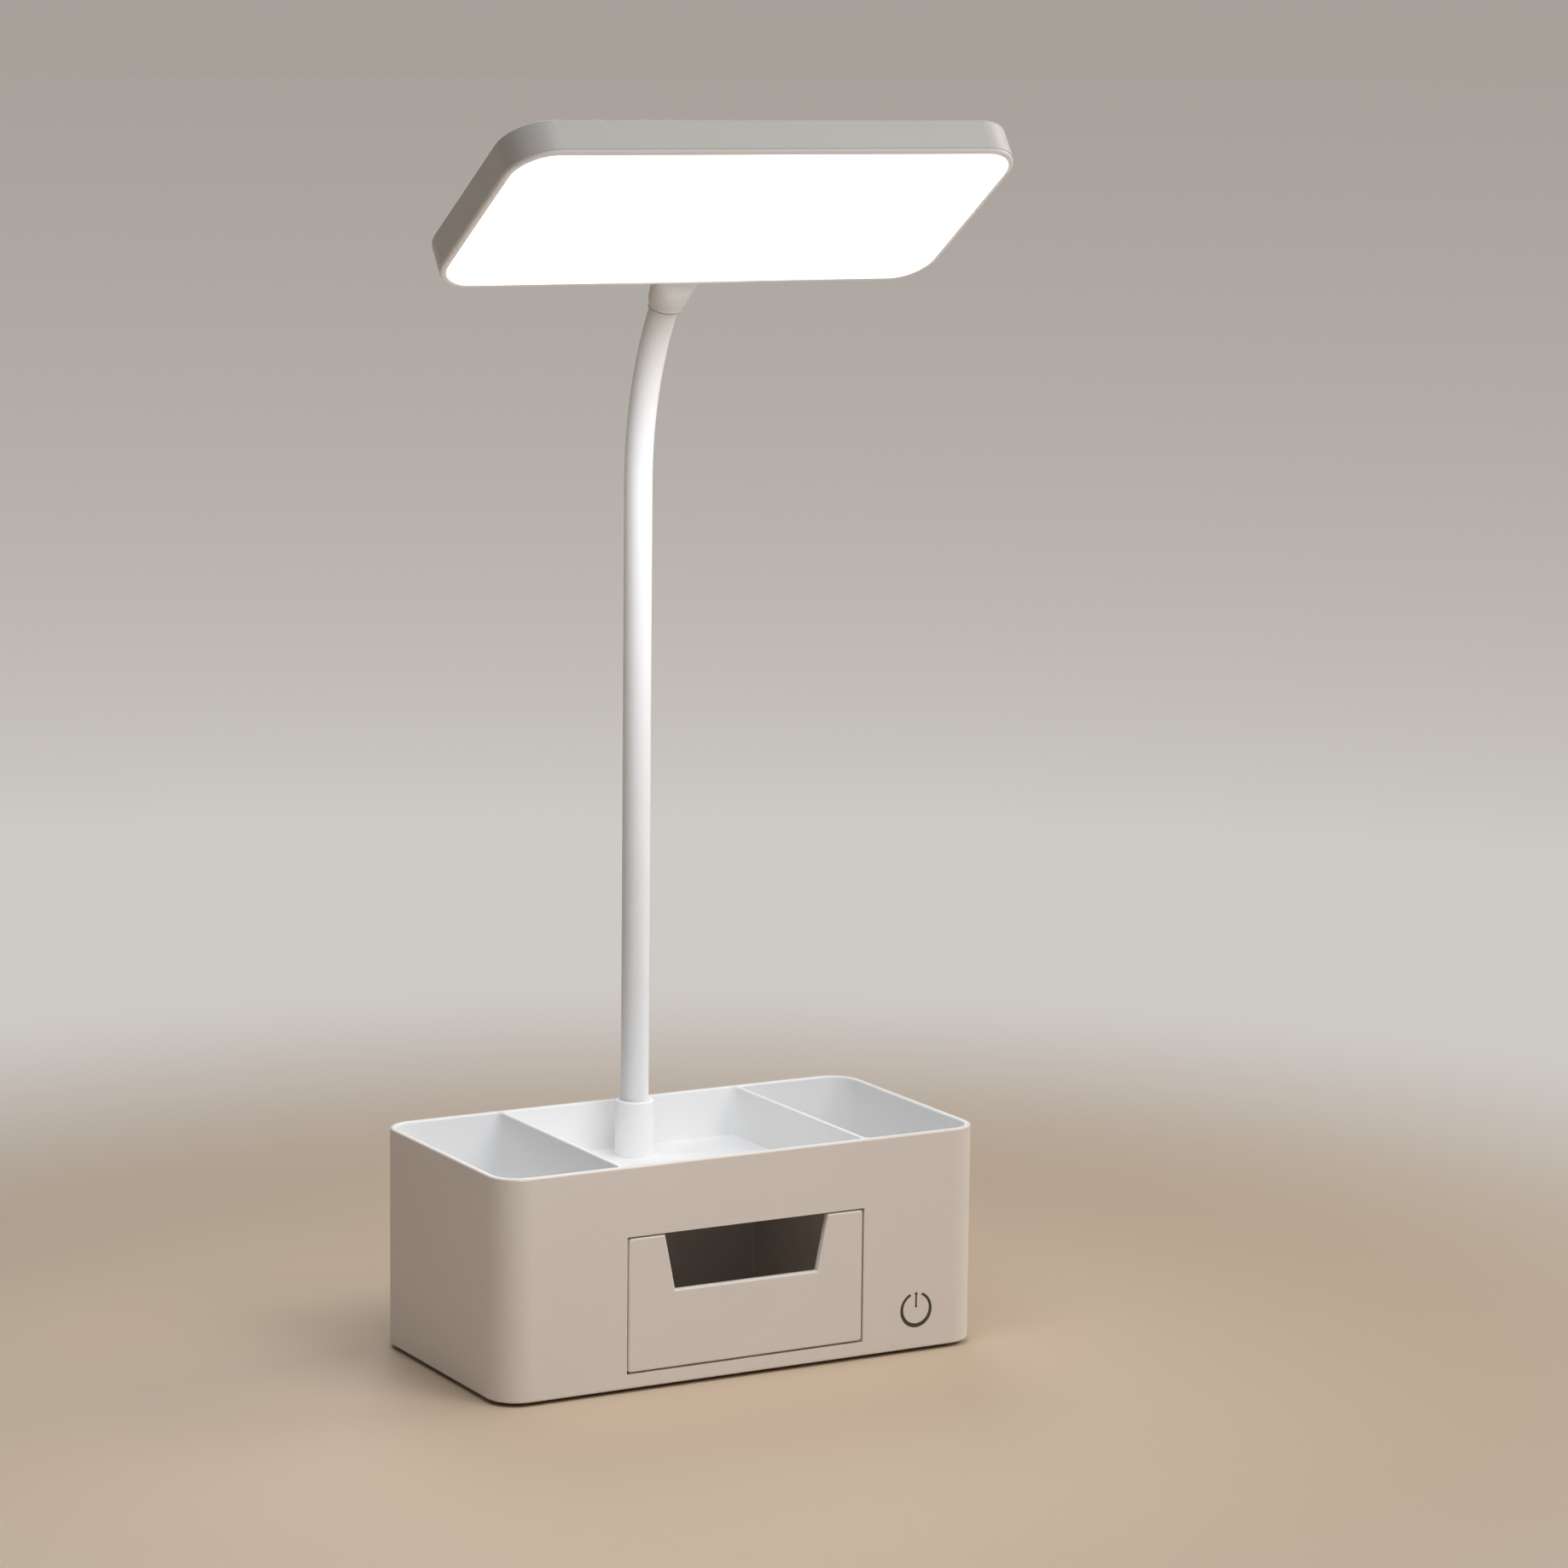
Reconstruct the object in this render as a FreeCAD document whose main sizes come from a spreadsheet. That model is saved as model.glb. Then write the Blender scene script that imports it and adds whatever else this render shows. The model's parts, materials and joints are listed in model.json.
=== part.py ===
import FreeCAD, Part
import math
import os
import re
import Sketcher

# A desk lamp on a drawer base.  Origin: centre of the base's footprint, on the desk.
# +X is the user's right, -Y is the front, +Z is up.  Millimetres and degrees.

doc = FreeCAD.newDocument("DeskLamp")
sheet = doc.addObject("Spreadsheet::Sheet", "Sizes")

SIZES = (
    ("base_width", 200, "base, left to right"),
    ("base_depth", 104, "base, front to back"),
    ("base_height", 82.5, "housing alone, without its feet"),
    ("corner_radius", 12, "upright corners of the housing"),
    ("wall", 2.4, "outer walls"),
    ("rim_round", 0.8, "rounding of the rim and of the bottom edge"),
    ("bin_round", 2, "inside corners of the bins"),
    ("bin_width", 46.2, "left and right bin, inside, left to right"),
    ("divider_thickness", 2, "dividers and inner partitions"),
    ("tray_depth", 19.1, "rim to the middle tray's floor"),
    ("floor_thickness", 2, "floors of the tray and of the bins"),
    ("lead_room", 2.1, "room for leads under the right bin"),
    ("pocket_spare", 0.3, "switch pocket behind the touch board's posts"),
    ("pocket_headroom", 2, "switch pocket over the touch board"),
    ("foot_proud", 1.5, "how far the feet hold the housing off the desk"),
    ("foot_sunk", 0.8, "how deep the feet sit in the cover"),
    ("foot_radius", 6, "rubber feet"),
    ("foot_side", 20, "feet from the outside of the side walls"),
    ("foot_end", 14, "feet from the outside of the front and back walls"),
    ("cover_thickness", 2.4, "bottom cover"),
    ("cover_gap", 0.2, "bottom cover to the walls"),
    ("screw_inset", 9, "front cover screws from the outside of the walls"),
    ("pillar_side", 5, "rear cover screws from the dividers"),
    ("pillar_end", 8, "rear cover screws from the outside of the back wall"),
    ("boss_radius", 3, "screw bosses"),
    ("screw_radius", 1.1, "cover screws, shank"),
    ("screw_length", 10, "cover screws, under the head"),
    ("boss_spare", 1, "screw bosses' holes beyond the screws"),
    ("head_radius", 2.6, "cover screws, head"),
    ("head_height", 1.3, "cover screws, head"),
    ("screw_play", 0.2, "round the head and the shank, in the cover"),
    ("drawer_rail", 5.6, "drawer front to the tray's underside"),
    ("drawer_room", 22, "drawer to the outside of the back wall"),
    ("drawer_gap", 0.7, "all round the drawer front"),
    ("drawer_wall", 1.8, "walls and floor of the drawer"),
    ("front_thickness", 2.4, "drawer front"),
    ("tub_drop", 3, "drawer's sides below the top of its front"),
    ("front_round", 0.7, "edges of the drawer front's face"),
    ("front_corner", 1.2, "corners of the drawer front"),
    ("notch_side", 14.8, "drawer front beside the finger notch, at its mouth"),
    ("notch_slant", 4.3, "how much the finger notch narrows at each side"),
    ("notch_depth", 21, "finger notch, top to bottom"),
    ("stop_height", 3.4, "stop tabs over the top of the drawer front"),
    ("stop_width", 12, "stop tabs"),
    ("stop_inset", 12.7, "stop tabs' middle from the drawer's sides"),
    ("runner_inset", 6.7, "runners' middle from the drawer's sides"),
    ("runner_width", 4, "runners under the drawer"),
    ("runner_gap", 0.3, "drawer over its runners"),
    ("post_radius", 2.2, "posts under the control board"),
    ("pilot_radius", 0.8, "small screws, shank radius"),
    ("pilot_depth", 3, "small screws in their posts"),
    ("small_head", 1.6, "small screws, head radius"),
    ("small_head_height", 1.2, "small screws, head"),
    ("slot_post", 1.8, "posts that hold the touch board, outside it"),
    ("slot_grip", 1, "touch board's ends in their posts"),
    ("slot_side", 2, "posts in front of the touch board and behind it"),
    ("slot_share", 0.7, "how far up the touch board the posts reach, as a share"),
    ("ballast_side", 1, "ballast plate to the runners"),
    ("ballast_front", 5, "ballast plate behind the front of the housing"),
    ("ballast_thickness", 2.8, "ballast plate"),
    ("ballast_back", 1, "ballast plate in front of the drawer's back"),
    ("ballast_clear", 0.8, "drawer over the ballast plate"),
    ("ballast_corner", 4, "corners of the ballast plate"),
    ("ballast_screw_inset", 9.4, "ballast screws from the plate's sides"),
    ("ballast_screw", 1.2, "ballast screws, shank radius"),
    ("ballast_screw_top", 2.4, "ballast screws, countersunk head radius"),
    ("ballast_screw_depth", 1.4, "ballast screws in the cover"),
    ("symbol_shift", 0.7, "switch mark, right of the touch board's middle"),
    ("symbol_lift", 0.5, "switch mark over the touch board's middle"),
    ("symbol_radius", 6.8, "switch mark's ring, outside"),
    ("symbol_stroke", 1.25, "switch mark's ring, line width at its sides"),
    ("symbol_taper", 0.3, "inside of the ring over its middle, so the line thins towards the gap"),
    ("symbol_gap", 44, "opening of the ring, degrees"),
    ("symbol_bar", 5.9, "switch mark's bar, length"),
    ("symbol_waist", 0.7, "switch mark's bar, width between its ends"),
    ("symbol_knob", 0.62, "switch mark's bar, radius of its top"),
    ("symbol_tip", 0.48, "switch mark's bar, radius of its foot"),
    ("bar_drop", 0.1, "switch mark's bar below the top of its ring"),
    ("symbol_sunk", 0.4, "how deep the mark is let in"),
    ("symbol_proud", 0.05, "how far the mark stands out"),
    ("battery_radius", 9.2, "cylindrical cell"),
    ("battery_round", 0.6, "edges of the cell"),
    ("battery_end", 19.5, "cell from the outside of the front and back walls"),
    ("holder_side", 1.3, "holder to the wall"),
    ("holder_floor", 0.7, "holder under the cell"),
    ("battery_headroom", 0.9, "left bin's floor over the cell"),
    ("holder_play", 0.1, "cell in its holder"),
    ("holder_wall", 1, "holder beside the cell"),
    ("holder_end", 2.5, "holder beyond the cell's ends"),
    ("holder_height", 11, "holder over the cover"),
    ("board_thickness", 1.6, "circuit boards"),
    ("board_gap", 0.3, "control board to the back wall"),
    ("board_edge", 3, "board screws from the board's edges"),
    ("chip_width", 6, "driver chip"),
    ("chip_height", 1.5, "driver chip"),
    ("chip_inset", 11.75, "driver chip from the board's front edge"),
    ("coil_gap", 2, "driver coil behind the chip"),
    ("coil_radius", 3.5, "driver coil"),
    ("coil_height", 4, "driver coil"),
    ("capacitor_radius", 2, "capacitors"),
    ("capacitor_height", 6, "capacitors"),
    ("capacitor_pitch", 6, "capacitors, one to the next"),
    ("connector_length", 6, "supply lead's connector"),
    ("connector_width", 6, "supply lead's connector"),
    ("connector_wall", 0.4, "connector over its lead"),
    ("lead_over_board", 2.4, "supply lead's axis over the control board"),
    ("board_lift", 4.1, "control board over the cover"),
    ("board_side", 2.6, "control board to the divider"),
    ("holder_space", 1.7, "control board to the cell's holder"),
    ("board_depth", 47, "control board, front to back"),
    ("port_width", 9, "charging socket"),
    ("port_height", 3.3, "charging socket"),
    ("port_depth", 8, "charging socket"),
    ("port_wall", 0.35, "charging socket's metal shell"),
    ("port_sunk", 0.3, "socket's mouth behind the outside of the back wall"),
    ("tongue_width", 6.6, "tongue in the charging socket"),
    ("tongue_thickness", 0.7, "tongue in the charging socket"),
    ("tongue_sunk", 1.2, "tongue behind the socket's mouth"),
    ("port_space", 0.9, "charging socket to the head of the board's rear screw"),
    ("port_play", 0.25, "round the charging socket in the back wall"),
    ("touch_side", 3.8, "touch board's left post to the divider"),
    ("touch_height", 20, "touch board, bottom to top"),
    ("touch_end", 0.2, "touch board's right post to the screw boss"),
    ("touch_stand", 5.1, "touch board behind the front wall"),
    ("touch_lift", 2.1, "touch board over the cover"),
    ("header_x", 7, "touch board's connector, left of the board's middle"),
    ("header_width", 4, "touch board's connector"),
    ("header_depth", 2, "touch board's connector"),
    ("header_height", 4.8, "touch board's connector"),
    ("pad_radius", 5, "foam contact behind the mark"),
    ("glow_x", 8, "switch lamp, left of the mark's middle"),
    ("glow_width", 3, "switch lamp"),
    ("glow_depth", 1.2, "switch lamp"),
    ("glow_height", 2.8, "switch lamp"),
    ("arm_back", 14, "arm in front of the outside of the back wall"),
    ("arm_radius", 5.3, "arm's sleeve, outside"),
    ("core_wall", 1.2, "steel core"),
    ("core_play", 0.4, "round the lead in the steel core"),
    ("lead_radius", 1.8, "lead through the arm"),
    ("collar_wall", 2.2, "collar round the foot of the arm"),
    ("collar_height", 21.3, "collar over the tray's floor"),
    ("collar_edge", 0.8, "bevel of the collar's top"),
    ("collar_seat", 2, "bottom of the arm over the tray's floor"),
    ("stem_radius", 5, "threaded stem under the collar"),
    ("stem_length", 13, "threaded stem below the tray's floor"),
    ("nut_radius", 8, "stem nut, across its corners"),
    ("nut_height", 4, "stem nut"),
    ("washer_thickness", 0.8, "washer over the stem nut"),
    ("straight_length", 234.8, "upright stretch of the arm over the collar"),
    ("bend_radius", 123.3, "arm's centre line where it leans forward"),
    ("bend_angle", 33.5, "arm's lean at its tip"),
    ("first_joint", 22, "first bending point over the collar"),
    ("last_joint", 27.2, "last bending point, along the arm from where it starts to lean"),
    ("joint_play", 0.1, "between the ball of one length and the socket of the next"),
    ("joint_skirt", 2.2, "how much of each ball shows"),
    ("neck_length", 15.6, "end of the arm's sleeve to the head"),
    ("neck_lip", 0.8, "neck's lip round the arm"),
    ("neck_flare", 1.5, "how far it widens from there to the head, at each side"),
    ("neck_spread", 2, "how far the neck widens at each side just above its lip"),
    ("neck_bulge_height", 4.5, "lip to the widening of the neck"),
    ("neck_taper", 1.3, "how much thinner the neck is at the head, front and back"),
    ("neck_socket", 10, "how deep the arm goes into the neck"),
    ("neck_screw_x", 5.5, "neck screws from the middle"),
    ("neck_screw_gap", 0.15, "neck screws' heads to the lamp strip"),
    ("neck_screw_grip", 3, "neck screws in the neck"),
    ("neck_screw_head", 1.6, "neck screws, head radius"),
    ("neck_screw_height", 1.4, "neck screws, head"),
    ("head_length", 204, "head, left to right"),
    ("head_depth", 90, "head, arm's edge to free edge"),
    ("head_room", 6.2, "room between the backing plate and the back shell"),
    ("head_corner", 16, "corners of the head, seen from above"),
    ("head_tilt", 34, "head over the horizontal"),
    ("head_wall", 1.2, "back shell"),
    ("head_round", 1.4, "edge round the head's back"),
    ("bezel_step", 0.3, "bezel inside the shell's outline"),
    ("bezel_lip", 1.3, "thickness of the bezel's face"),
    ("bezel_round", 0.9, "outer edge of the bezel's face"),
    ("bezel_width", 2.3, "shell's outline to the diffuser"),
    ("bezel_skirt", 3, "bezel's skirt inside the shell"),
    ("skirt_wall", 0.5, "thickness of the bezel's skirt"),
    ("fit_gap", 0.1, "between pieces that lie in each other"),
    ("diffuser_proud", 0.3, "diffuser over the bezel"),
    ("diffuser_flange", 0.7, "diffuser's flange behind the bezel"),
    ("diffuser_round", 0.3, "edge of the diffuser's face"),
    ("guide_thickness", 2.8, "light guide"),
    ("reflector_thickness", 0.3, "reflector sheet"),
    ("backing_thickness", 1, "backing plate"),
    ("guide_gap", 0.2, "lamps to the light guide"),
    ("strip_thickness", 1, "lamp strip's board"),
    ("strip_height", 4, "lamp strip's board"),
    ("strip_end", 22.5, "lamp strip to the head's ends"),
    ("tab_x", 34, "strip's solder tab, left of the middle"),
    ("tab_width", 8, "strip's solder tab"),
    ("tab_margin", 1.4, "strip's solder tab over the lead's axis"),
    ("lamp_depth", 0.8, "lamps on the strip"),
    ("lamp_width", 3, "lamps on the strip"),
    ("lamp_height", 2, "lamps on the strip"),
    ("lamp_count", 24, "lamps on the strip"),
    ("boss_side", 27.5, "head bosses from the head's ends"),
    ("boss_end", 22.5, "head bosses from the head's long edges"),
    ("head_boss", 2.5, "head bosses, radius"),
    ("head_screw", 0.9, "head screws, shank radius"),
    ("head_screw_top", 1.9, "head screws, countersunk head radius"),
    ("head_screw_spare", 1.2, "head screws to the inside of the back shell"),
    ("lead_play", 0.5, "round a lead in a wall"),
    ("lead_way", 0.6, "round the lead in the stem and the neck"),
    ("head_lead_radius", 1.2, "lead inside the head"),
    ("head_lead_lift", 0.1, "head lead's axis over the middle of its room"),
    ("head_lead_depth", 32, "how far the head lead goes in before it turns"),
    ("battery_lead_reach", 8, "battery lead behind the holder"),
    ("thin_lead_radius", 0.7, "leads of the switch and the battery"),
    ("thin_lead_pitch", 6, "switch lead in front of the supply lead"),
)

for row, (alias, number, meaning) in enumerate(SIZES, 1):
    sheet.set(f"A{row}", alias)
    sheet.set(f"B{row}", str(number))
    sheet.set(f"C{row}", meaning)
    sheet.setAlias(f"B{row}", alias)
doc.recompute()

ALIASES = {alias for alias, number, meaning in SIZES}
NODES = []


# ---- helpers: every size is an expression on the sheet ----

def cells(text):
    """The expression with each alias read from the sheet."""
    def named(match):
        word = match.group()
        return "Sizes." + word if word in ALIASES else word
    return re.sub(r"[a-z_]+", named, str(text))


def value(text):
    """The number that an expression gives now."""
    return float(sheet.evalExpression(str(text)))


def bind(item, **expressions):
    for name, text in expressions.items():
        item.setExpression(name, cells(text))
    return item


def place(item, x=0, y=0, z=0, angle=0, axis="1; 0; 0"):
    """Puts an item at a point, turned about an axis through that point."""
    where = f"placement(vector({x}; {y}; {z}); rotation(vector({axis}); {angle}))"
    return bind(item, Placement=where)


def box(name, x, y, z):
    """A block between a low and a high value on each axis."""
    item = doc.addObject("Part::Box", name)
    spans = [f"({high}) - ({low})" for low, high in (x, y, z)]
    bind(item, Length=spans[0], Width=spans[1], Height=spans[2])
    return place(item, x[0], y[0], z[0])


def cylinder(name, radius, height, x=0, y=0, z=0, angle=0, axis="1; 0; 0"):
    item = doc.addObject("Part::Cylinder", name)
    bind(item, Radius=radius, Height=height)
    return place(item, x, y, z, angle, axis)


def sphere(name, radius, x=0, y=0, z=0):
    item = doc.addObject("Part::Sphere", name)
    bind(item, Radius=radius)
    return place(item, x, y, z)


def fuse(name, items):
    item = doc.addObject("Part::MultiFuse", name)
    item.Shapes = list(items)
    item.Refine = True
    return item


def cut(name, base, tools):
    """The base without its tools."""
    tools = list(tools)
    item = doc.addObject("Part::Cut", name)
    item.Base = base
    item.Tool = tools[0] if len(tools) == 1 else fuse(name + "_tools", tools)
    item.Refine = True
    return item


def common(name, items):
    item = doc.addObject("Part::MultiCommon", name)
    item.Shapes = list(items)
    item.Refine = True
    return item


def group(name, items):
    """Separate solids that share one node."""
    item = doc.addObject("Part::Compound", name)
    item.Links = list(items)
    return item


def rounded(name, base, radius, wanted):
    """The base with the wanted edges rounded."""
    doc.recompute()
    size = value(radius)
    item = doc.addObject("Part::Fillet", name)
    item.Base = base
    edges = [i for i, edge in enumerate(base.Shape.Edges, 1) if wanted(edge.BoundBox)]
    item.Edges = [(i, size, size) for i in edges]
    return item


def flat(low, high):
    return abs(high - low) < 1e-4


def at_height(number):
    """Picks the edges that lie at one height."""
    return lambda b: flat(b.ZMin, b.ZMax) and flat(b.ZMin, number)


def upright(b):
    return flat(b.XMin, b.XMax) and flat(b.YMin, b.YMax) and not flat(b.ZMin, b.ZMax)


def slab(name, x, y, z, radius):
    """A block with its four upright edges rounded."""
    return rounded(name, box(name + "_block", x, y, z), radius, upright)


def turned(name, outline):
    """A PartDesign body turned from (radius, height) corners about its Z axis."""
    body = doc.addObject("PartDesign::Body", name)
    sketch = body.newObject("Sketcher::SketchObject", name + "_profile")
    plane = [f for f in body.Origin.OriginFeatures if f.Role == "XZ_Plane"][0]
    sketch.AttachmentSupport = [(plane, "")]
    sketch.MapMode = "FlatFace"
    corners = [FreeCAD.Vector(value(r), value(h), 0) for r, h in outline]
    count = len(corners)
    for i in range(count):
        sketch.addGeometry(Part.LineSegment(corners[i], corners[(i + 1) % count]), False)
    for i in range(count):
        sketch.addConstraint(Sketcher.Constraint("Coincident", i, 2, (i + 1) % count, 1))
    for i, (radius, height) in enumerate(outline):
        across = Sketcher.Constraint("DistanceX", -1, 1, i, 1, corners[i].x)
        along = Sketcher.Constraint("DistanceY", -1, 1, i, 1, corners[i].y)
        for constraint, text in ((across, radius), (along, height)):
            number = sketch.addConstraint(constraint)
            sketch.setExpression(f"Constraints[{number}]", cells(text))
    turn = body.newObject("PartDesign::Revolution", name + "_turned")
    turn.Profile = sketch
    turn.ReferenceAxis = (sketch, ["V_Axis"])
    turn.Angle = 360
    return body


def tube(name, points, radius, room=50):
    """A lead: straight runs joined by tangent arcs, each as large as its runs and room allow."""
    points = [FreeCAD.Vector(*[value(number) for number in point]) for point in points]
    size = value(radius)
    edges = []
    last = points[0]
    for before, corner, after in zip(points, points[1:], points[2:]):
        arriving = (before - corner).normalize()
        leaving = (after - corner).normalize()
        half_turn = (math.pi - arriving.getAngle(leaving)) / 2
        reach = min(room, 0.45 * before.distanceToPoint(corner), 0.45 * after.distanceToPoint(corner))
        bend = reach / math.tan(half_turn)
        start = corner + arriving * reach
        end = corner + leaving * reach
        inward = (arriving + leaving).normalize()
        middle = corner + inward * (bend / math.cos(half_turn) - bend)
        edges.append(Part.LineSegment(last, start).toShape())
        edges.append(Part.Arc(start, middle, end).toShape())
        last = end
        print(f"{name}: bend radius {bend:.1f}")
    edges.append(Part.LineSegment(last, points[-1]).toShape())
    path = Part.Wire(edges)
    ring = Part.Circle(points[0], points[1] - points[0], size).toShape()
    item = doc.addObject("Part::Feature", name)
    item.Shape = path.makePipeShell([Part.Wire([ring])], True, True)
    expected = math.pi * size ** 2 * path.Length
    if abs(item.Shape.Volume / expected - 1) > 0.01:
        raise RuntimeError(f"{name}: the lead's volume is off")
    return item


def keep(item, label):
    """Makes an item a piece of the lamp, under the name of its file."""
    item.Label = label
    NODES.append(item)
    return item


# ---- shared places ----

half_width = "base_width / 2"
half_depth = "base_depth / 2"
inner_x = "(base_width / 2 - wall)"
inner_y = "(base_depth / 2 - wall)"
front_y = f"(-{half_depth})"
rim_z = "(foot_proud + base_height)"
cover_z = "(foot_proud + cover_thickness)"
tray_z = f"({rim_z} - tray_depth)"
tray_under = f"({tray_z} - floor_thickness)"
bin_x = f"({inner_x} - bin_width)"
bay_x = f"({bin_x} - divider_thickness)"
divider_x = f"({bin_x} - divider_thickness / 2)"
right_floor = f"({cover_z} + lead_room + floor_thickness)"

drawer_x = f"({bay_x} - drawer_gap)"
drawer_z = f"({cover_z} + ballast_thickness + ballast_clear)"
drawer_top = f"({tray_under} - drawer_rail)"
drawer_back = f"({half_depth} - drawer_room)"
runner_x = f"({drawer_x} - runner_inset)"
ballast_x = f"({runner_x} - runner_width / 2 - ballast_side)"
ballast_y = (f"({front_y} + ballast_front)", f"({drawer_back} - ballast_back)")

arm_y = f"({half_depth} - arm_back)"
arm_bore = "(lead_radius + lead_way)"
core_bore = "(lead_radius + core_play)"
core_radius = f"({core_bore} + core_wall)"

holder_x = "(battery_radius + holder_play + holder_wall)"
battery_x = f"({inner_x} - holder_side - {holder_x})"
battery_z = f"({cover_z} + holder_floor + holder_play + battery_radius)"
left_floor = f"({battery_z} + battery_radius + battery_headroom + floor_thickness)"
half_cell = f"({half_depth} - battery_end)"
half_nest = f"({half_cell} + holder_play)"

touch_y = f"(touch_stand - {inner_y})"
touch_z = f"({cover_z} + touch_lift)"
touch_left = f"({bin_x} + touch_side + slot_post)"
touch_right = f"({half_width} - screw_inset - boss_radius - touch_end - slot_post)"
touch_x = f"(({touch_left} + {touch_right}) / 2)"
symbol_x = f"({touch_x} + symbol_shift)"
symbol_z = f"({touch_z} + touch_height / 2 + symbol_lift)"
pocket_top = f"({touch_z} + touch_height + pocket_headroom)"
pocket_y = f"({touch_y} + board_thickness + slot_side + pocket_spare)"
BEYOND = 5


# ---- housing ----

def lining(name, x, y, z):
    """The part of the room inside the outer walls that lies in the given block."""
    room = slab(
        name + "_room",
        (f"-{inner_x}", inner_x),
        (f"-{inner_y}", inner_y),
        (-BEYOND, f"{rim_z} + {BEYOND}"),
        "corner_radius - wall",
    )
    return common(name, [room, box(name + "_zone", x, y, z)])


def make_housing():
    outside = slab(
        "housing_outside",
        (f"-{half_width}", half_width),
        (f"-{half_depth}", half_depth),
        ("foot_proud", rim_z),
        "corner_radius",
    )
    over = f"{rim_z} + {BEYOND}"
    across = (f"-{half_depth}", half_depth)
    left_x = (f"-{half_width}", f"-{bin_x}")
    middle_x = (f"-{bay_x}", bay_x)
    right_x = (bin_x, half_width)
    shelf_z = f"({pocket_top} + floor_thickness)"
    shelf_y = f"({pocket_y} + divider_thickness)"

    bins = [
        lining("left_bin", left_x, across, (left_floor, over)),
        lining("middle_tray", middle_x, across, (tray_z, over)),
        fuse("right_bin", [
            lining("right_bin_top", right_x, across, (shelf_z, over)),
            lining("right_bin_well", right_x, (shelf_y, half_depth), (right_floor, over)),
        ]),
    ]
    corners = []
    for item in bins:
        doc.recompute()
        edges = item.Shape.BoundBox
        sides = [value(bin_x), value(bay_x)]

        def sharp(b, edges=edges, sides=sides):
            on_divider = any(flat(abs(b.XMin), side) for side in sides)
            return upright(b) and on_divider and flat(b.ZMax, edges.ZMax)
        corners.append(rounded(item.Name + "_corners", item, "bin_round", sharp))
    shell = cut("housing_shell", outside, corners)
    rim = rounded("housing_rim", shell, "rim_round", at_height(value(rim_z)))
    floor_edge = rounded("housing_edges", rim, "rim_round", at_height(value("foot_proud")))

    below = (-BEYOND, cover_z)
    bays = [
        lining("cover_room", (f"-{half_width}", half_width), across, below),
        lining("left_bay", left_x, across, (-BEYOND, f"{left_floor} - floor_thickness")),
        lining("drawer_bay", middle_x, across, (-BEYOND, tray_under)),
        lining("right_bay", right_x, across, (-BEYOND, f"{right_floor} - floor_thickness")),
        lining("switch_pocket", right_x, (f"-{half_depth}", pocket_y), (-BEYOND, pocket_top)),
    ]
    opening = box(
        "drawer_opening",
        (f"-{bay_x}", bay_x),
        (f"-{half_depth} - {BEYOND}", f"{BEYOND} - {half_depth}"),
        (f"{drawer_z} - drawer_gap", f"{drawer_top} + drawer_gap"),
    )
    hollow = cut("housing_hollow", floor_edge, bays + [opening])

    bosses = []
    holes = []
    for index, (x, y, top) in enumerate(screw_places(), 1):
        tall = f"{top} + floor_thickness / 2 - {cover_z}"
        bosses.append(cylinder(f"boss_{index}", "boss_radius", tall, x, y, cover_z))
        holes.append(cylinder(f"boss_hole_{index}", "screw_radius", "screw_length", x, y, cover_z))
    solid = fuse("housing_bosses", [hollow] + bosses)

    port = port_block("port_window", "port_play", f"{inner_y} - {BEYOND}", f"{half_depth} + {BEYOND}")
    stem_hole = cylinder("stem_hole", "stem_radius", f"floor_thickness + {BEYOND}",
                         0, arm_y, f"{tray_under} - {BEYOND} / 2")
    lead_hole = cylinder("lead_hole", "lead_radius + lead_play", "divider_thickness * 2",
                         f"-{divider_x} - divider_thickness", arm_y, lead_z, 90, "0; 1; 0")
    thin_holes = [
        cylinder(f"thin_hole_{side}", "thin_lead_radius + lead_play", "divider_thickness * 2",
                 f"{sign} * {divider_x} - divider_thickness", thin_y, thin_z, 90, "0; 1; 0")
        for side, sign in (("left", -1), ("right", 1))
    ]
    mark = symbol("symbol_recess", f"symbol_sunk + {BEYOND}", f"{front_y} + symbol_sunk")
    tools = holes + [port, stem_hole, lead_hole] + thin_holes + mark
    return cut("base_housing", solid, tools)


def screw_places():
    """Each cover screw's x and y, and the ceiling that its boss hangs from."""
    front_x = f"({half_width} - screw_inset)"
    front = f"({front_y} + screw_inset)"
    rear_x = f"({bay_x} - pillar_side)"
    rear = f"({half_depth} - pillar_end)"
    return [
        (f"-{front_x}", front, f"{left_floor} - floor_thickness"),
        (front_x, front, pocket_top),
        (f"-{rear_x}", rear, tray_under),
        (rear_x, rear, tray_under),
    ]


def foot_places():
    x = f"({half_width} - foot_side)"
    y = f"({half_depth} - foot_end)"
    return [(f"{i} * {x}", f"{j} * {y}") for i in (-1, 1) for j in (-1, 1)]


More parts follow.
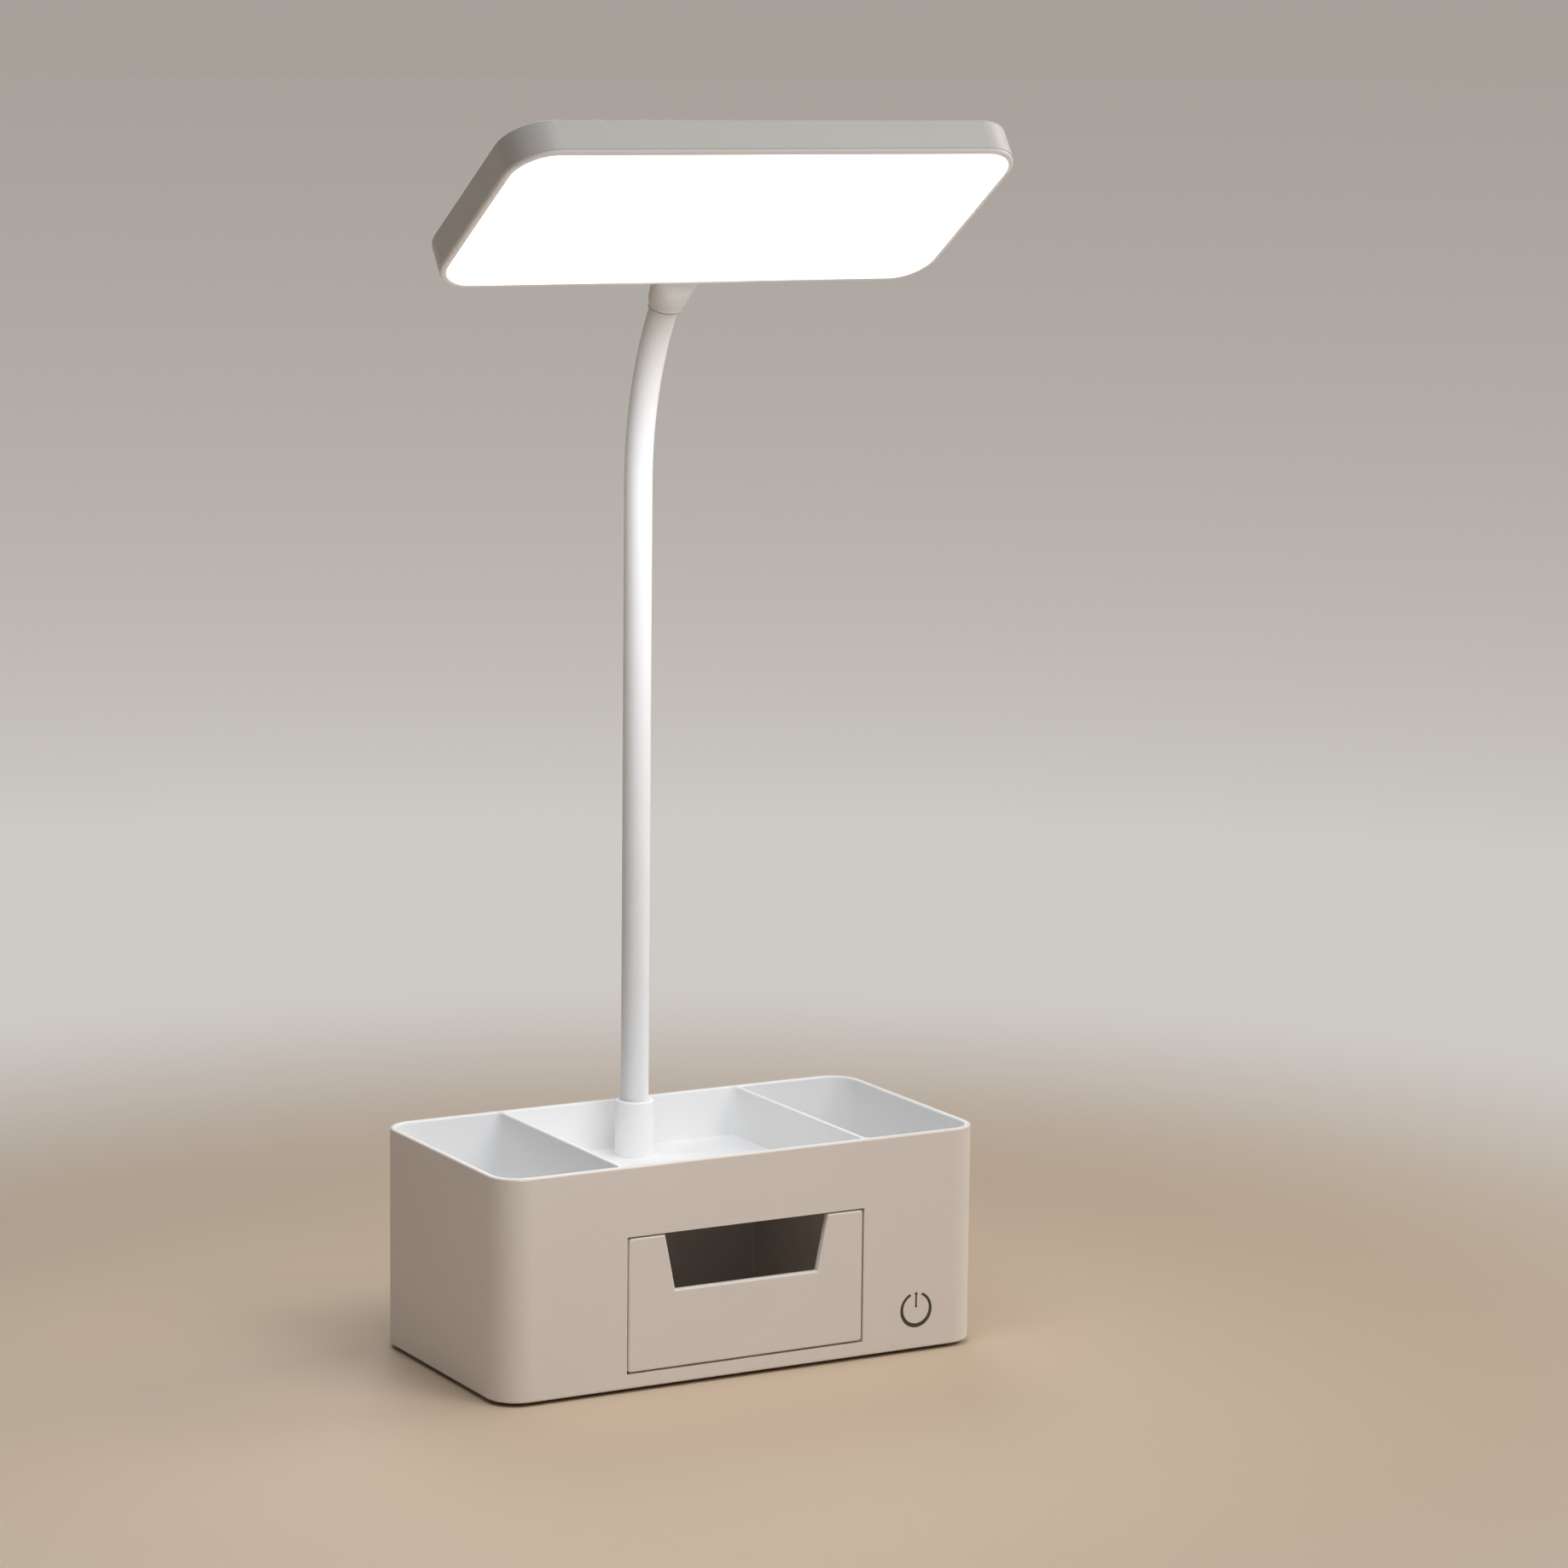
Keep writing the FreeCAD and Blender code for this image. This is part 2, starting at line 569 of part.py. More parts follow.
def make_cover():
    plate = slab(
        "cover_plate",
        (f"cover_gap - {inner_x}", f"{inner_x} - cover_gap"),
        (f"cover_gap - {inner_y}", f"{inner_y} - cover_gap"),
        ("foot_proud", cover_z),
        "corner_radius - wall - cover_gap",
    )
    base = f"{cover_z} - cover_thickness / 2"
    raised = []
    for side, sign in (("left", -1), ("right", 1)):
        middle = f"{sign} * {runner_x}"
        raised.append(box(
            f"runner_{side}",
            (f"{middle} - runner_width / 2", f"{middle} + runner_width / 2"),
            ballast_y,
            (base, f"{drawer_z} - runner_gap"),
        ))
    for index, (x, y) in enumerate(board_posts(), 1):
        raised.append(cylinder(f"post_{index}", "post_radius", f"{board_z} - {base}", x, y, base))
    post_y = (f"{touch_y} - slot_side", f"{touch_y} + board_thickness + slot_side")
    post_z = (base, f"{touch_z} + touch_height * slot_share")
    left_x = (f"{touch_left} - slot_post", f"{touch_left} + slot_grip")
    right_x = (f"{touch_right} - slot_grip", f"{touch_right} + slot_post")
    raised.append(box("slot_post_left", left_x, post_y, post_z))
    raised.append(box("slot_post_right", right_x, post_y, post_z))
    solid = fuse("cover_solid", [plate] + raised)

    tools = [box(
        "board_slot",
        (f"{touch_left} - fit_gap", f"{touch_right} + fit_gap"),
        (f"{touch_y} - fit_gap", f"{touch_y} + board_thickness + fit_gap"),
        (touch_z, f"{touch_z} + touch_height + {BEYOND}"),
    )]
    for index, (x, y, top) in enumerate(screw_places(), 1):
        sunk = "head_height + screw_play"
        tools.append(cylinder(f"counterbore_{index}", "head_radius + screw_play",
                              f"{sunk} + {BEYOND}", x, y, f"foot_proud - {BEYOND}"))
        tools.append(cylinder(f"cover_hole_{index}", "screw_radius + screw_play",
                              "2 * cover_thickness", x, y, "foot_proud"))
    for index, (x, y) in enumerate(foot_places(), 1):
        tools.append(cylinder(f"foot_recess_{index}", "foot_radius", f"foot_sunk + {BEYOND}",
                              x, y, f"foot_proud - {BEYOND}"))
    for index, (x, y) in enumerate(board_posts(), 1):
        tools.append(cylinder(f"post_hole_{index}", "pilot_radius", "pilot_depth", x, y,
                              f"{board_z} - pilot_depth"))
    for index, (x, y) in enumerate(ballast_screws(), 1):
        tools.append(cylinder(f"ballast_hole_{index}", "ballast_screw", "ballast_screw_depth",
                              x, y, f"{cover_z} - ballast_screw_depth"))
    return cut("bottom_cover", solid, tools)


def make_fasteners():
    screws = []
    for index, (x, y, top) in enumerate(screw_places(), 1):
        under = "(foot_proud + head_height + screw_play)"
        screws.append(fuse(f"cover_screw_{index}", [
            cylinder(f"screw_head_{index}", "head_radius", "head_height", x, y, f"{under} - head_height"),
            cylinder(f"screw_shank_{index}", "screw_radius", "screw_length - boss_spare", x, y, under),
        ]))
    keep(group("cover_screws", screws), "cover_screws")

    feet = [
        cylinder(f"foot_{index}", "foot_radius", "foot_proud + foot_sunk", x, y)
        for index, (x, y) in enumerate(foot_places(), 1)
    ]
    soft = [rounded(foot.Name + "_soft", foot, "foot_sunk / 2", at_height(0)) for foot in feet]
    keep(group("rubber_feet", soft), "rubber_feet")


def ballast_screws():
    x = f"({ballast_x} - ballast_screw_inset)"
    y = f"({ballast_y[0]} + {ballast_y[1]}) / 2"
    return [(f"{i} * {x}", y) for i in (-1, 1)]


def make_ballast():
    plate = slab(
        "ballast_blank",
        (f"-{ballast_x}", ballast_x),
        ballast_y,
        (cover_z, f"{cover_z} + ballast_thickness"),
        "ballast_corner",
    )
    screws = []
    holes = []
    for index, (x, y) in enumerate(ballast_screws(), 1):
        screws.append(ballast_screw(f"ballast_screw_{index}", x, y))
        holes.append(ballast_screw(f"ballast_sink_{index}", x, y))
    keep(cut("ballast_plate", plate, holes), "ballast_plate")
    keep(group("ballast_screws", screws), "ballast_screws")


def ballast_screw(name, x, y):
    """A flat-headed screw that points down from the ballast plate's top."""
    top = f"({cover_z} + ballast_thickness)"
    taper = "(ballast_screw_top - ballast_screw)"
    length = "(ballast_thickness + ballast_screw_depth)"
    cone = doc.addObject("Part::Cone", name + "_head")
    bind(cone, Radius1="ballast_screw", Radius2="ballast_screw_top", Height=taper)
    place(cone, x, y, f"{top} - {taper}")
    shank = cylinder(name + "_shank", "ballast_screw", length, x, y, f"{top} - {length}")
    return fuse(name, [cone, shank])


# ---- drawer ----

def make_drawer():
    tub_top = f"({drawer_top} - tub_drop)"
    inside_y = f"({front_y} + front_thickness)"
    front = slab_upright(
        "drawer_front",
        (f"-{drawer_x}", drawer_x),
        (front_y, inside_y),
        (drawer_z, drawer_top),
        "front_corner",
    )
    tub = box("drawer_tub", (f"-{drawer_x}", drawer_x), (inside_y, drawer_back), (drawer_z, tub_top))
    room = slab(
        "drawer_room",
        (f"drawer_wall - {drawer_x}", f"{drawer_x} - drawer_wall"),
        (inside_y, f"{drawer_back} - drawer_wall"),
        (f"{drawer_z} + drawer_wall", f"{drawer_top} + {BEYOND}"),
        "bin_round",
    )
    tray = cut("drawer_tray", tub, [room])
    stop_x = f"({drawer_x} - stop_inset)"
    tabs = [
        box(
            f"stop_tab_{side}",
            (f"{sign} * {stop_x} - stop_width / 2", f"{sign} * {stop_x} + stop_width / 2"),
            (f"{drawer_back} - drawer_wall", drawer_back),
            (drawer_z, f"{drawer_top} + stop_height"),
        )
        for side, sign in (("left", -1), ("right", 1))
    ]
    notch = doc.addObject("Part::Wedge", "finger_notch")
    mouth = f"({drawer_x} - notch_side + notch_slant / notch_depth)"
    bottom = f"({drawer_x} - notch_side - notch_slant)"
    bind(
        notch,
        Xmin=f"-{bottom}", Xmax=bottom,
        X2min=f"-{mouth}", X2max=mouth,
        Ymin="0", Ymax="notch_depth + 1",
        Zmin="0", Zmax="front_thickness + 2",
        Z2min="0", Z2max="front_thickness + 2",
    )
    place(notch, 0, f"{inside_y} + 1", f"{drawer_top} - notch_depth", 90)
    panel = cut("drawer_panel", front, [notch])
    face_y = value(front_y)
    soft = rounded(
        "drawer_panel_soft", panel, "front_round",
        lambda b: flat(b.YMin, b.YMax) and flat(b.YMin, face_y),
    )
    return fuse("drawer_box", [soft, tray] + tabs)


def slab_upright(name, x, y, z, radius):
    """A block with the four edges that run front to back rounded."""
    def lengthwise(b):
        return flat(b.XMin, b.XMax) and flat(b.ZMin, b.ZMax) and not flat(b.YMin, b.YMax)
    return rounded(name, box(name + "_block", x, y, z), radius, lengthwise)


# ---- switch ----

def symbol(name, thickness, back):
    """The switch mark: a ring with a gap at its top and a bar in the gap."""
    place_front = {"y": back, "angle": 90}
    ring = cylinder(name + "_disc", "symbol_radius", thickness, x=symbol_x, z=symbol_z, **place_front)
    hole = cylinder(name + "_hole", "symbol_radius - symbol_stroke", thickness,
                    x=symbol_x, z=f"({symbol_z} + symbol_taper)", **place_front)
    wedge = cylinder(name + "_wedge", "symbol_radius * 2", thickness,
                     x=symbol_x, z=symbol_z, **place_front)
    bind(wedge, Angle="symbol_gap")
    turn = "rotation(vector(1; 0; 0); 90) * rotation(vector(0; 0; 1); 90 - symbol_gap / 2)"
    bind(wedge, Placement=f"placement(vector({symbol_x}; {back}; {symbol_z}); {turn})")
    arc = cut(name + "_ring", ring, [hole, wedge])
    bar_top = f"({symbol_z} + symbol_radius - bar_drop)"
    bar_foot = f"({bar_top} - symbol_bar)"
    waist = box(
        name + "_waist",
        (f"{symbol_x} - symbol_waist / 2", f"{symbol_x} + symbol_waist / 2"),
        (f"{back} - ({thickness})", back),
        (f"{bar_foot} + symbol_tip", f"{bar_top} - symbol_knob"),
    )
    knob = cylinder(name + "_knob", "symbol_knob", thickness,
                    x=symbol_x, z=f"({bar_top} - symbol_knob)", **place_front)
    tip = cylinder(name + "_tip", "symbol_tip", thickness,
                   x=symbol_x, z=f"({bar_foot} + symbol_tip)", **place_front)
    return [arc, fuse(name + "_bar", [waist, knob, tip])]


def make_switch():
    mark = symbol("symbol_insert", "symbol_sunk + symbol_proud", f"({front_y} + symbol_sunk)")
    keep(group("power_symbol", mark), "power_symbol")

    board = box(
        "touch_board_blank",
        (touch_left, touch_right),
        (touch_y, f"{touch_y} + board_thickness"),
        (touch_z, f"{touch_z} + touch_height"),
    )
    header = box(
        "touch_header",
        (f"{touch_x} - header_x - header_width / 2", f"{touch_x} - header_x + header_width / 2"),
        (f"{touch_y} + board_thickness", f"{touch_y} + board_thickness + header_depth"),
        (f"{cover_z} + fit_gap", f"{cover_z} + fit_gap + header_height"),
    )
    keep(fuse("touch_board", [board, header]), "touch_board")
    pad = cylinder("touch_pad", "pad_radius", "touch_stand", symbol_x, touch_y, symbol_z, 90)
    keep(pad, "touch_pad")
    glow = box(
        "switch_lamp",
        (f"{symbol_x} - glow_x - glow_width / 2", f"{symbol_x} - glow_x + glow_width / 2"),
        (f"{touch_y} - glow_depth", touch_y),
        (f"{symbol_z} - glow_height / 2", f"{symbol_z} + glow_height / 2"),
    )
    keep(glow, "switch_lamp")


# ---- power ----

board_z = f"({cover_z} + board_lift)"
board_top = f"({board_z} + board_thickness)"
board_back = f"({inner_y} - board_gap)"
board_front = f"({board_back} - board_depth)"
board_left = f"(holder_space + {holder_x} - {battery_x})"
board_right = f"(-{bin_x} - board_side)"
board_x = f"(({board_left} + {board_right}) / 2)"
board_width = f"({board_right} - {board_left})"
port_x = f"({board_left} + board_edge + small_head + port_space + port_width / 2)"
lead_z = f"({board_top} + lead_over_board)"
thin_y = f"({arm_y} - thin_lead_pitch)"
thin_z = f"({cover_z} + thin_lead_radius + 4 * fit_gap)"


def board_posts():
    left = f"{board_left} + board_edge"
    right = f"{board_right} - board_edge"
    return [
        (left, f"{board_front} + board_edge"),
        (right, f"{board_front} + board_edge"),
        (left, f"{board_back} - board_edge"),
    ]


def port_block(name, margin, front, back):
    """A block with rounded long edges, the outline of the charging socket."""
    middle = f"({board_top} + port_height / 2)"
    return slab_upright(
        name,
        (f"{port_x} - port_width / 2 - {margin}", f"{port_x} + port_width / 2 + {margin}"),
        (front, back),
        (f"{middle} - port_height / 2 - {margin}", f"{middle} + port_height / 2 + {margin}"),
        f"port_height / 2 + {margin} - 0.05",
    )


def make_power():
    block = box(
        "holder_block",
        (f"-{battery_x} - {holder_x}", f"{holder_x} - {battery_x}"),
        (f"-{half_nest} - holder_end", f"{half_nest} + holder_end"),
        (cover_z, f"{cover_z} + holder_height"),
    )
    nest = cylinder("holder_nest", "battery_radius + holder_play", f"2 * {half_nest}",
                    f"-{battery_x}", half_nest, battery_z, 90)
    keep(cut("battery_holder", block, [nest]), "battery_holder")
    cell = cylinder("cell_can", "battery_radius", f"2 * {half_cell}",
                    f"-{battery_x}", half_cell, battery_z, 90)
    cell_edges = rounded("battery_cell", cell, "battery_round", lambda b: flat(b.YMin, b.YMax))
    keep(cell_edges, "battery_cell")

    blank = box(
        "board_blank",
        (board_left, board_right),
        (board_front, board_back),
        (board_z, board_top),
    )
    holes = [
        cylinder(f"board_hole_{index}", "pilot_radius", "board_thickness", x, y, board_z)
        for index, (x, y) in enumerate(board_posts(), 1)
    ]
    keep(cut("control_board", blank, holes), "control_board")
    screws = []
    for index, (x, y) in enumerate(board_posts(), 1):
        screws.append(fuse(f"board_screw_{index}", [
            cylinder(f"board_screw_head_{index}", "small_head", "small_head_height", x, y, board_top),
            cylinder(f"board_screw_shank_{index}", "pilot_radius", "board_thickness + pilot_depth",
                     x, y, f"{board_z} - pilot_depth"),
        ]))
    keep(group("board_screws", screws), "board_screws")

    chip_y = f"({board_front} + chip_inset)"
    chip = box(
        "driver_chip",
        (f"{board_x} - chip_width / 2", f"{board_x} + chip_width / 2"),
        (f"{chip_y} - chip_width / 2", f"{chip_y} + chip_width / 2"),
        (board_top, f"{board_top} + chip_height"),
    )
    coil_y = f"({chip_y} + chip_width / 2 + coil_radius + coil_gap)"
    coil = cylinder("driver_coil", "coil_radius", "coil_height",
                    f"{board_x} - coil_radius", coil_y, board_top)
    caps = [
        cylinder(f"capacitor_{i}", "capacitor_radius", "capacitor_height",
                 f"{board_x} + {board_width} / 4", f"{coil_y} + {i} * capacitor_pitch", board_top)
        for i in range(2)
    ]
    plug = box(
        "lead_connector",
        (f"{board_right} - connector_length", board_right),
        (f"{arm_y} - connector_width / 2", f"{arm_y} + connector_width / 2"),
        (board_top, f"{lead_z} + lead_radius + connector_wall"),
    )
    thin_plug = box(
        "switch_connector",
        (f"{board_right} - connector_length", board_right),
        (f"{thin_y} - connector_width / 3", f"{thin_y} + connector_width / 3"),
        (f"{cover_z} + fit_gap", board_z),
    )
    keep(group("driver_components", [chip, coil] + caps + [plug, thin_plug]), "driver_components")

    mouth = f"({half_depth} - port_sunk)"
    middle = f"({board_top} + port_height / 2)"
    shell = port_block("port_shell", "0", f"{mouth} - port_depth", mouth)
    hollow = port_block("port_hollow", "(0 - port_wall)",
                        f"{mouth} - port_depth + port_wall", f"{mouth} + {BEYOND}")
    tongue = box(
        "port_tongue",
        (f"{port_x} - tongue_width / 2", f"{port_x} + tongue_width / 2"),
        (f"{mouth} - port_depth + port_wall / 2", f"{mouth} - tongue_sunk"),
        (f"{middle} - tongue_thickness / 2", f"{middle} + tongue_thickness / 2"),
    )
    keep(fuse("charge_port", [cut("port_can", shell, [hollow]), tongue]), "charge_port")


def make_leads():
    stem_end = f"({tray_z} - stem_length)"
    supply = [(0, arm_y, stem_end), (0, arm_y, lead_z), (board_right, arm_y, lead_z)]
    keep(tube("supply_lead", supply, "lead_radius"), "supply_lead")
    start_x = f"({touch_x} - header_x)"
    start_y = f"({touch_y} + board_thickness + header_depth)"
    switch = [(start_x, start_y, thin_z), (start_x, thin_y, thin_z), (board_right, thin_y, thin_z)]
    keep(tube("switch_lead", switch, "thin_lead_radius", 12), "switch_lead")
    cell_end = f"({half_nest} + holder_end)"
    low = f"({board_z} + board_thickness / 2)"
    bend_y = f"({cell_end} + battery_lead_reach)"
    cell_x = f"(-{battery_x})"
    battery = [(cell_x, cell_end, low), (cell_x, bend_y, low), (board_left, bend_y, low)]
    keep(tube("battery_lead", battery, "thin_lead_radius"), "battery_lead")


# ---- arm ----

collar_top = f"({tray_z} + collar_height)"
collar_radius = "(arm_radius + collar_wall)"


def make_collar():
    collar = turned("arm_collar", [
        (arm_bore, "-stem_length"),
        ("stem_radius", "-stem_length"),
        ("stem_radius", "0"),
        (collar_radius, "0"),
        (collar_radius, "collar_height - collar_edge"),
        (f"{collar_radius} - collar_edge", "collar_height"),
        ("arm_radius", "collar_height"),
        ("arm_radius", "collar_seat"),
        (arm_bore, "collar_seat"),
    ])
    place(collar, 0, arm_y, tray_z)
    keep(collar, "arm_collar")
    washer = turned("collar_washer", [
        ("stem_radius", "0"),
        ("nut_radius", "0"),
        ("nut_radius", "washer_thickness"),
        ("stem_radius", "washer_thickness"),
    ])
    place(washer, 0, arm_y, f"{tray_under} - washer_thickness")
    keep(washer, "collar_washer")
    nut = doc.addObject("Part::Prism", "collar_nut_blank")
    nut.Polygon = 6
    bind(nut, Circumradius="nut_radius", Height="nut_height")
    nut_z = f"({tray_under} - washer_thickness - nut_height)"
    place(nut, 0, arm_y, nut_z)
    hole = cylinder("collar_nut_hole", "stem_radius", "nut_height", 0, arm_y, nut_z)
    keep(cut("collar_nut", nut, [hole]), "collar_nut")


def run(name, radius, start, straight, sweep, tail):
    """One round bar along the arm's line, in its own frame: up, round the bend, then straight on."""
    bars = []
    if value(straight) > 0:
        bars.append(cylinder(name + "_up", radius, f"({straight}) - ({start})", 0, 0, start))
    if value(sweep) > 0:
        ring = doc.addObject("Part::Torus", name + "_round")
        bind(ring, Radius1="bend_radius", Radius2=radius, Angle3=sweep)
        place(ring, 0, "-bend_radius", straight, 120, "1; 1; 1")
        bars.append(ring)
    if value(tail) > 0:
        y, z = bend_end(straight, sweep)
        bars.append(cylinder(name + "_on", radius, tail, 0, y, z, sweep))
    return bars[0] if len(bars) == 1 else fuse(name, bars)


def bend_end(straight, sweep):
    y = f"(-bend_radius * (1 - cos({sweep})))"
    z = f"({straight} + bend_radius * sin({sweep}))"
    return y, z


def station(along):
    """Height, depth and lean of the arm's line at a distance along it from the collar's top."""
    if value(along) <= value("straight_length"):
        return arm_y, f"({collar_top} + {along})", "0"
    lean = f"(({along} - straight_length) / bend_radius * 180 / pi)"
    y = f"({arm_y} - bend_radius * (1 - cos({lean})))"
    z = f"({collar_top} + straight_length + bend_radius * sin({lean}))"
    return y, z, lean


def arm_length(index, begin, end, tail, first, last):
    """One length of the arm: sleeve, steel core and lead, ball at its top, socket at its foot."""
    y, z, lean = station(begin)
    upright_part = max(0, min(value(end), value("straight_length")) - value(begin))
    bent_part = max(0, value(end) - max(value(begin), value("straight_length")))
    if bent_part == 0:
        straight = f"({end} - {begin})"
        sweep = "0"
    elif upright_part > 0:
        straight = f"(straight_length - {begin})"
        sweep = f"(({end} - straight_length) / bend_radius * 180 / pi)"
    else:
        straight = "0"
        sweep = f"(({end} - {begin}) / bend_radius * 180 / pi)"
    tip_y, tip_z = bend_end(straight, sweep)
    over = f"(arm_radius + {BEYOND})"

    def socket(name):
        ball = sphere(name + "_ball", "arm_radius + joint_play")
        skirt = cylinder(name + "_skirt", over, f"joint_skirt + {BEYOND}", 0, 0, -BEYOND)
        return [ball, skirt]

    def finished(name, bar, tools):
        item = cut(name, bar, tools) if tools else bar
        place(item, 0, y, z, lean)
        return keep(item, name)

    name = f"arm_sleeve_{index}"
    bar = run(name + "_bar", "arm_radius", "0", straight, sweep, tail)
    if not last:
        bar = fuse(name + "_domed", [bar, sphere(name + "_dome", "arm_radius", 0, tip_y, tip_z)])
    bore = run(name + "_bore", core_radius, f"-{BEYOND}", straight, sweep, over)
    finished(name, bar, [bore] + ([] if first else socket(name)))

    name = f"arm_core_{index}"
    bar = run(name + "_bar", core_radius, "0", straight, sweep, tail)
    bore = run(name + "_bore", core_bore, f"-{BEYOND}", straight, sweep, over)
    finished(name, bar, [bore] + ([] if first else socket(name)))

    name = f"arm_lead_{index}"
    foot = "(0 - collar_seat - stem_length)" if first else "0"
    bar = run(name + "_bar", "lead_radius", foot, straight, sweep, tail)
    finished(name, group(name + "_whole", [bar]) if first else bar, [] if first else socket(name))


JOINTS = 7


def make_arm():
    arc = "(bend_radius * bend_angle * pi / 180)"
    begin = "(collar_seat - collar_height)"
    pitch = f"((straight_length + last_joint - first_joint) / {JOINTS - 1})"
    for index in range(JOINTS + 1):
        first = index == 0
        last = index == JOINTS
        end = f"(straight_length + {arc})" if last else f"(first_joint + {index} * {pitch})"
        tail = "neck_socket" if last else "0"
        arm_length(index, begin, end, tail, first, last)
        begin = end


# ---- head: modelled flat, lit face down, arm's edge at y = 0, then tilted ----

tip_y = f"({arm_y} - bend_radius * (1 - cos(bend_angle)))"
tip_z = f"({collar_top} + straight_length + bend_radius * sin(bend_angle))"
entry_y = f"({tip_y} - neck_length * sin(bend_angle))"
entry_z = f"({tip_z} + neck_length * cos(bend_angle))"
guide_z = "(bezel_lip + diffuser_flange)"
reflector_z = f"({guide_z} + guide_thickness)"
backing_z = f"({reflector_z} + reflector_thickness)"
cavity_z = f"({backing_z} + backing_thickness)"
ceiling_z = f"({cavity_z} + head_room)"
head_thickness = f"({ceiling_z} + head_wall)"
head_y = f"({entry_y} - {head_thickness} / 2 * sin(head_tilt))"
head_z = f"({entry_z} - {head_thickness} / 2 * cos(head_tilt))"
skirt_inset = "(head_wall + fit_gap + skirt_wall)"
strip_y = f"({skirt_inset} + fit_gap)"
guide_y = f"({strip_y} + strip_thickness + lamp_depth + guide_gap)"


head_screw_length = "(backing_thickness + head_room - head_screw_spare)"
lead_height = f"(({cavity_z} + {ceiling_z}) / 2 + head_lead_lift)"
strip_top = f"({guide_z} + strip_height)"
neck_screws = ("-neck_screw_x", "neck_screw_x")
neck_screw_z = f"({strip_top} + neck_screw_gap + neck_screw_head)"
neck_radius = "(arm_radius + neck_lip)"


def in_head(item):
    return place(item, 0, head_y, head_z, "-head_tilt")


def head_slab(name, inset, z, near=None):
    """A slab with the head's outline, inset all round, or further at the arm's edge."""
    near = near or inset
    return slab(
        name,
        (f"{inset} - head_length / 2", f"head_length / 2 - {inset}"),
        (f"{inset} - head_depth", f"0 - {near}"),
        z,
        f"head_corner - {inset}",
    )


def head_bosses():
    return [
        (f"{i} * (head_length / 2 - boss_side)", y)
        for i in (-1, 1) for y in ("(boss_end - head_depth)", "(0 - boss_end)")
    ]


def make_head_shell():
    solid = head_slab("shell_blank", "0", ("bezel_lip", head_thickness))
    soft = rounded("shell_soft", solid, "head_round", at_height(value(head_thickness)))
    room = head_slab("shell_room", "head_wall", (-BEYOND, ceiling_z))
    pan = cut("shell_pan", soft, [room])
    bosses = [
        cylinder(f"head_boss_{index}", "head_boss", "head_room + head_wall / 2", x, y, cavity_z)
        for index, (x, y) in enumerate(head_bosses(), 1)
    ]
    solid = fuse("shell_bossed", [pan] + bosses)
    holes = [
        cylinder(f"head_boss_hole_{index}", "head_screw", head_screw_length, x, y, backing_z)
        for index, (x, y) in enumerate(head_bosses(), 1)
    ]
    holes.append(cylinder("shell_lead_hole", arm_bore, "head_wall * 2",
                          0, "head_wall / 2", f"{head_thickness} / 2 + head_wall / 4", 90))
    for index, x in enumerate(neck_screws, 1):
        holes.append(cylinder(f"shell_neck_hole_{index}", "head_screw", "head_wall * 2",
                              x, "head_wall / 2", neck_screw_z, 90))
    shell = cut("head_shell", solid, holes)
    keep(in_head(shell), "head_shell")


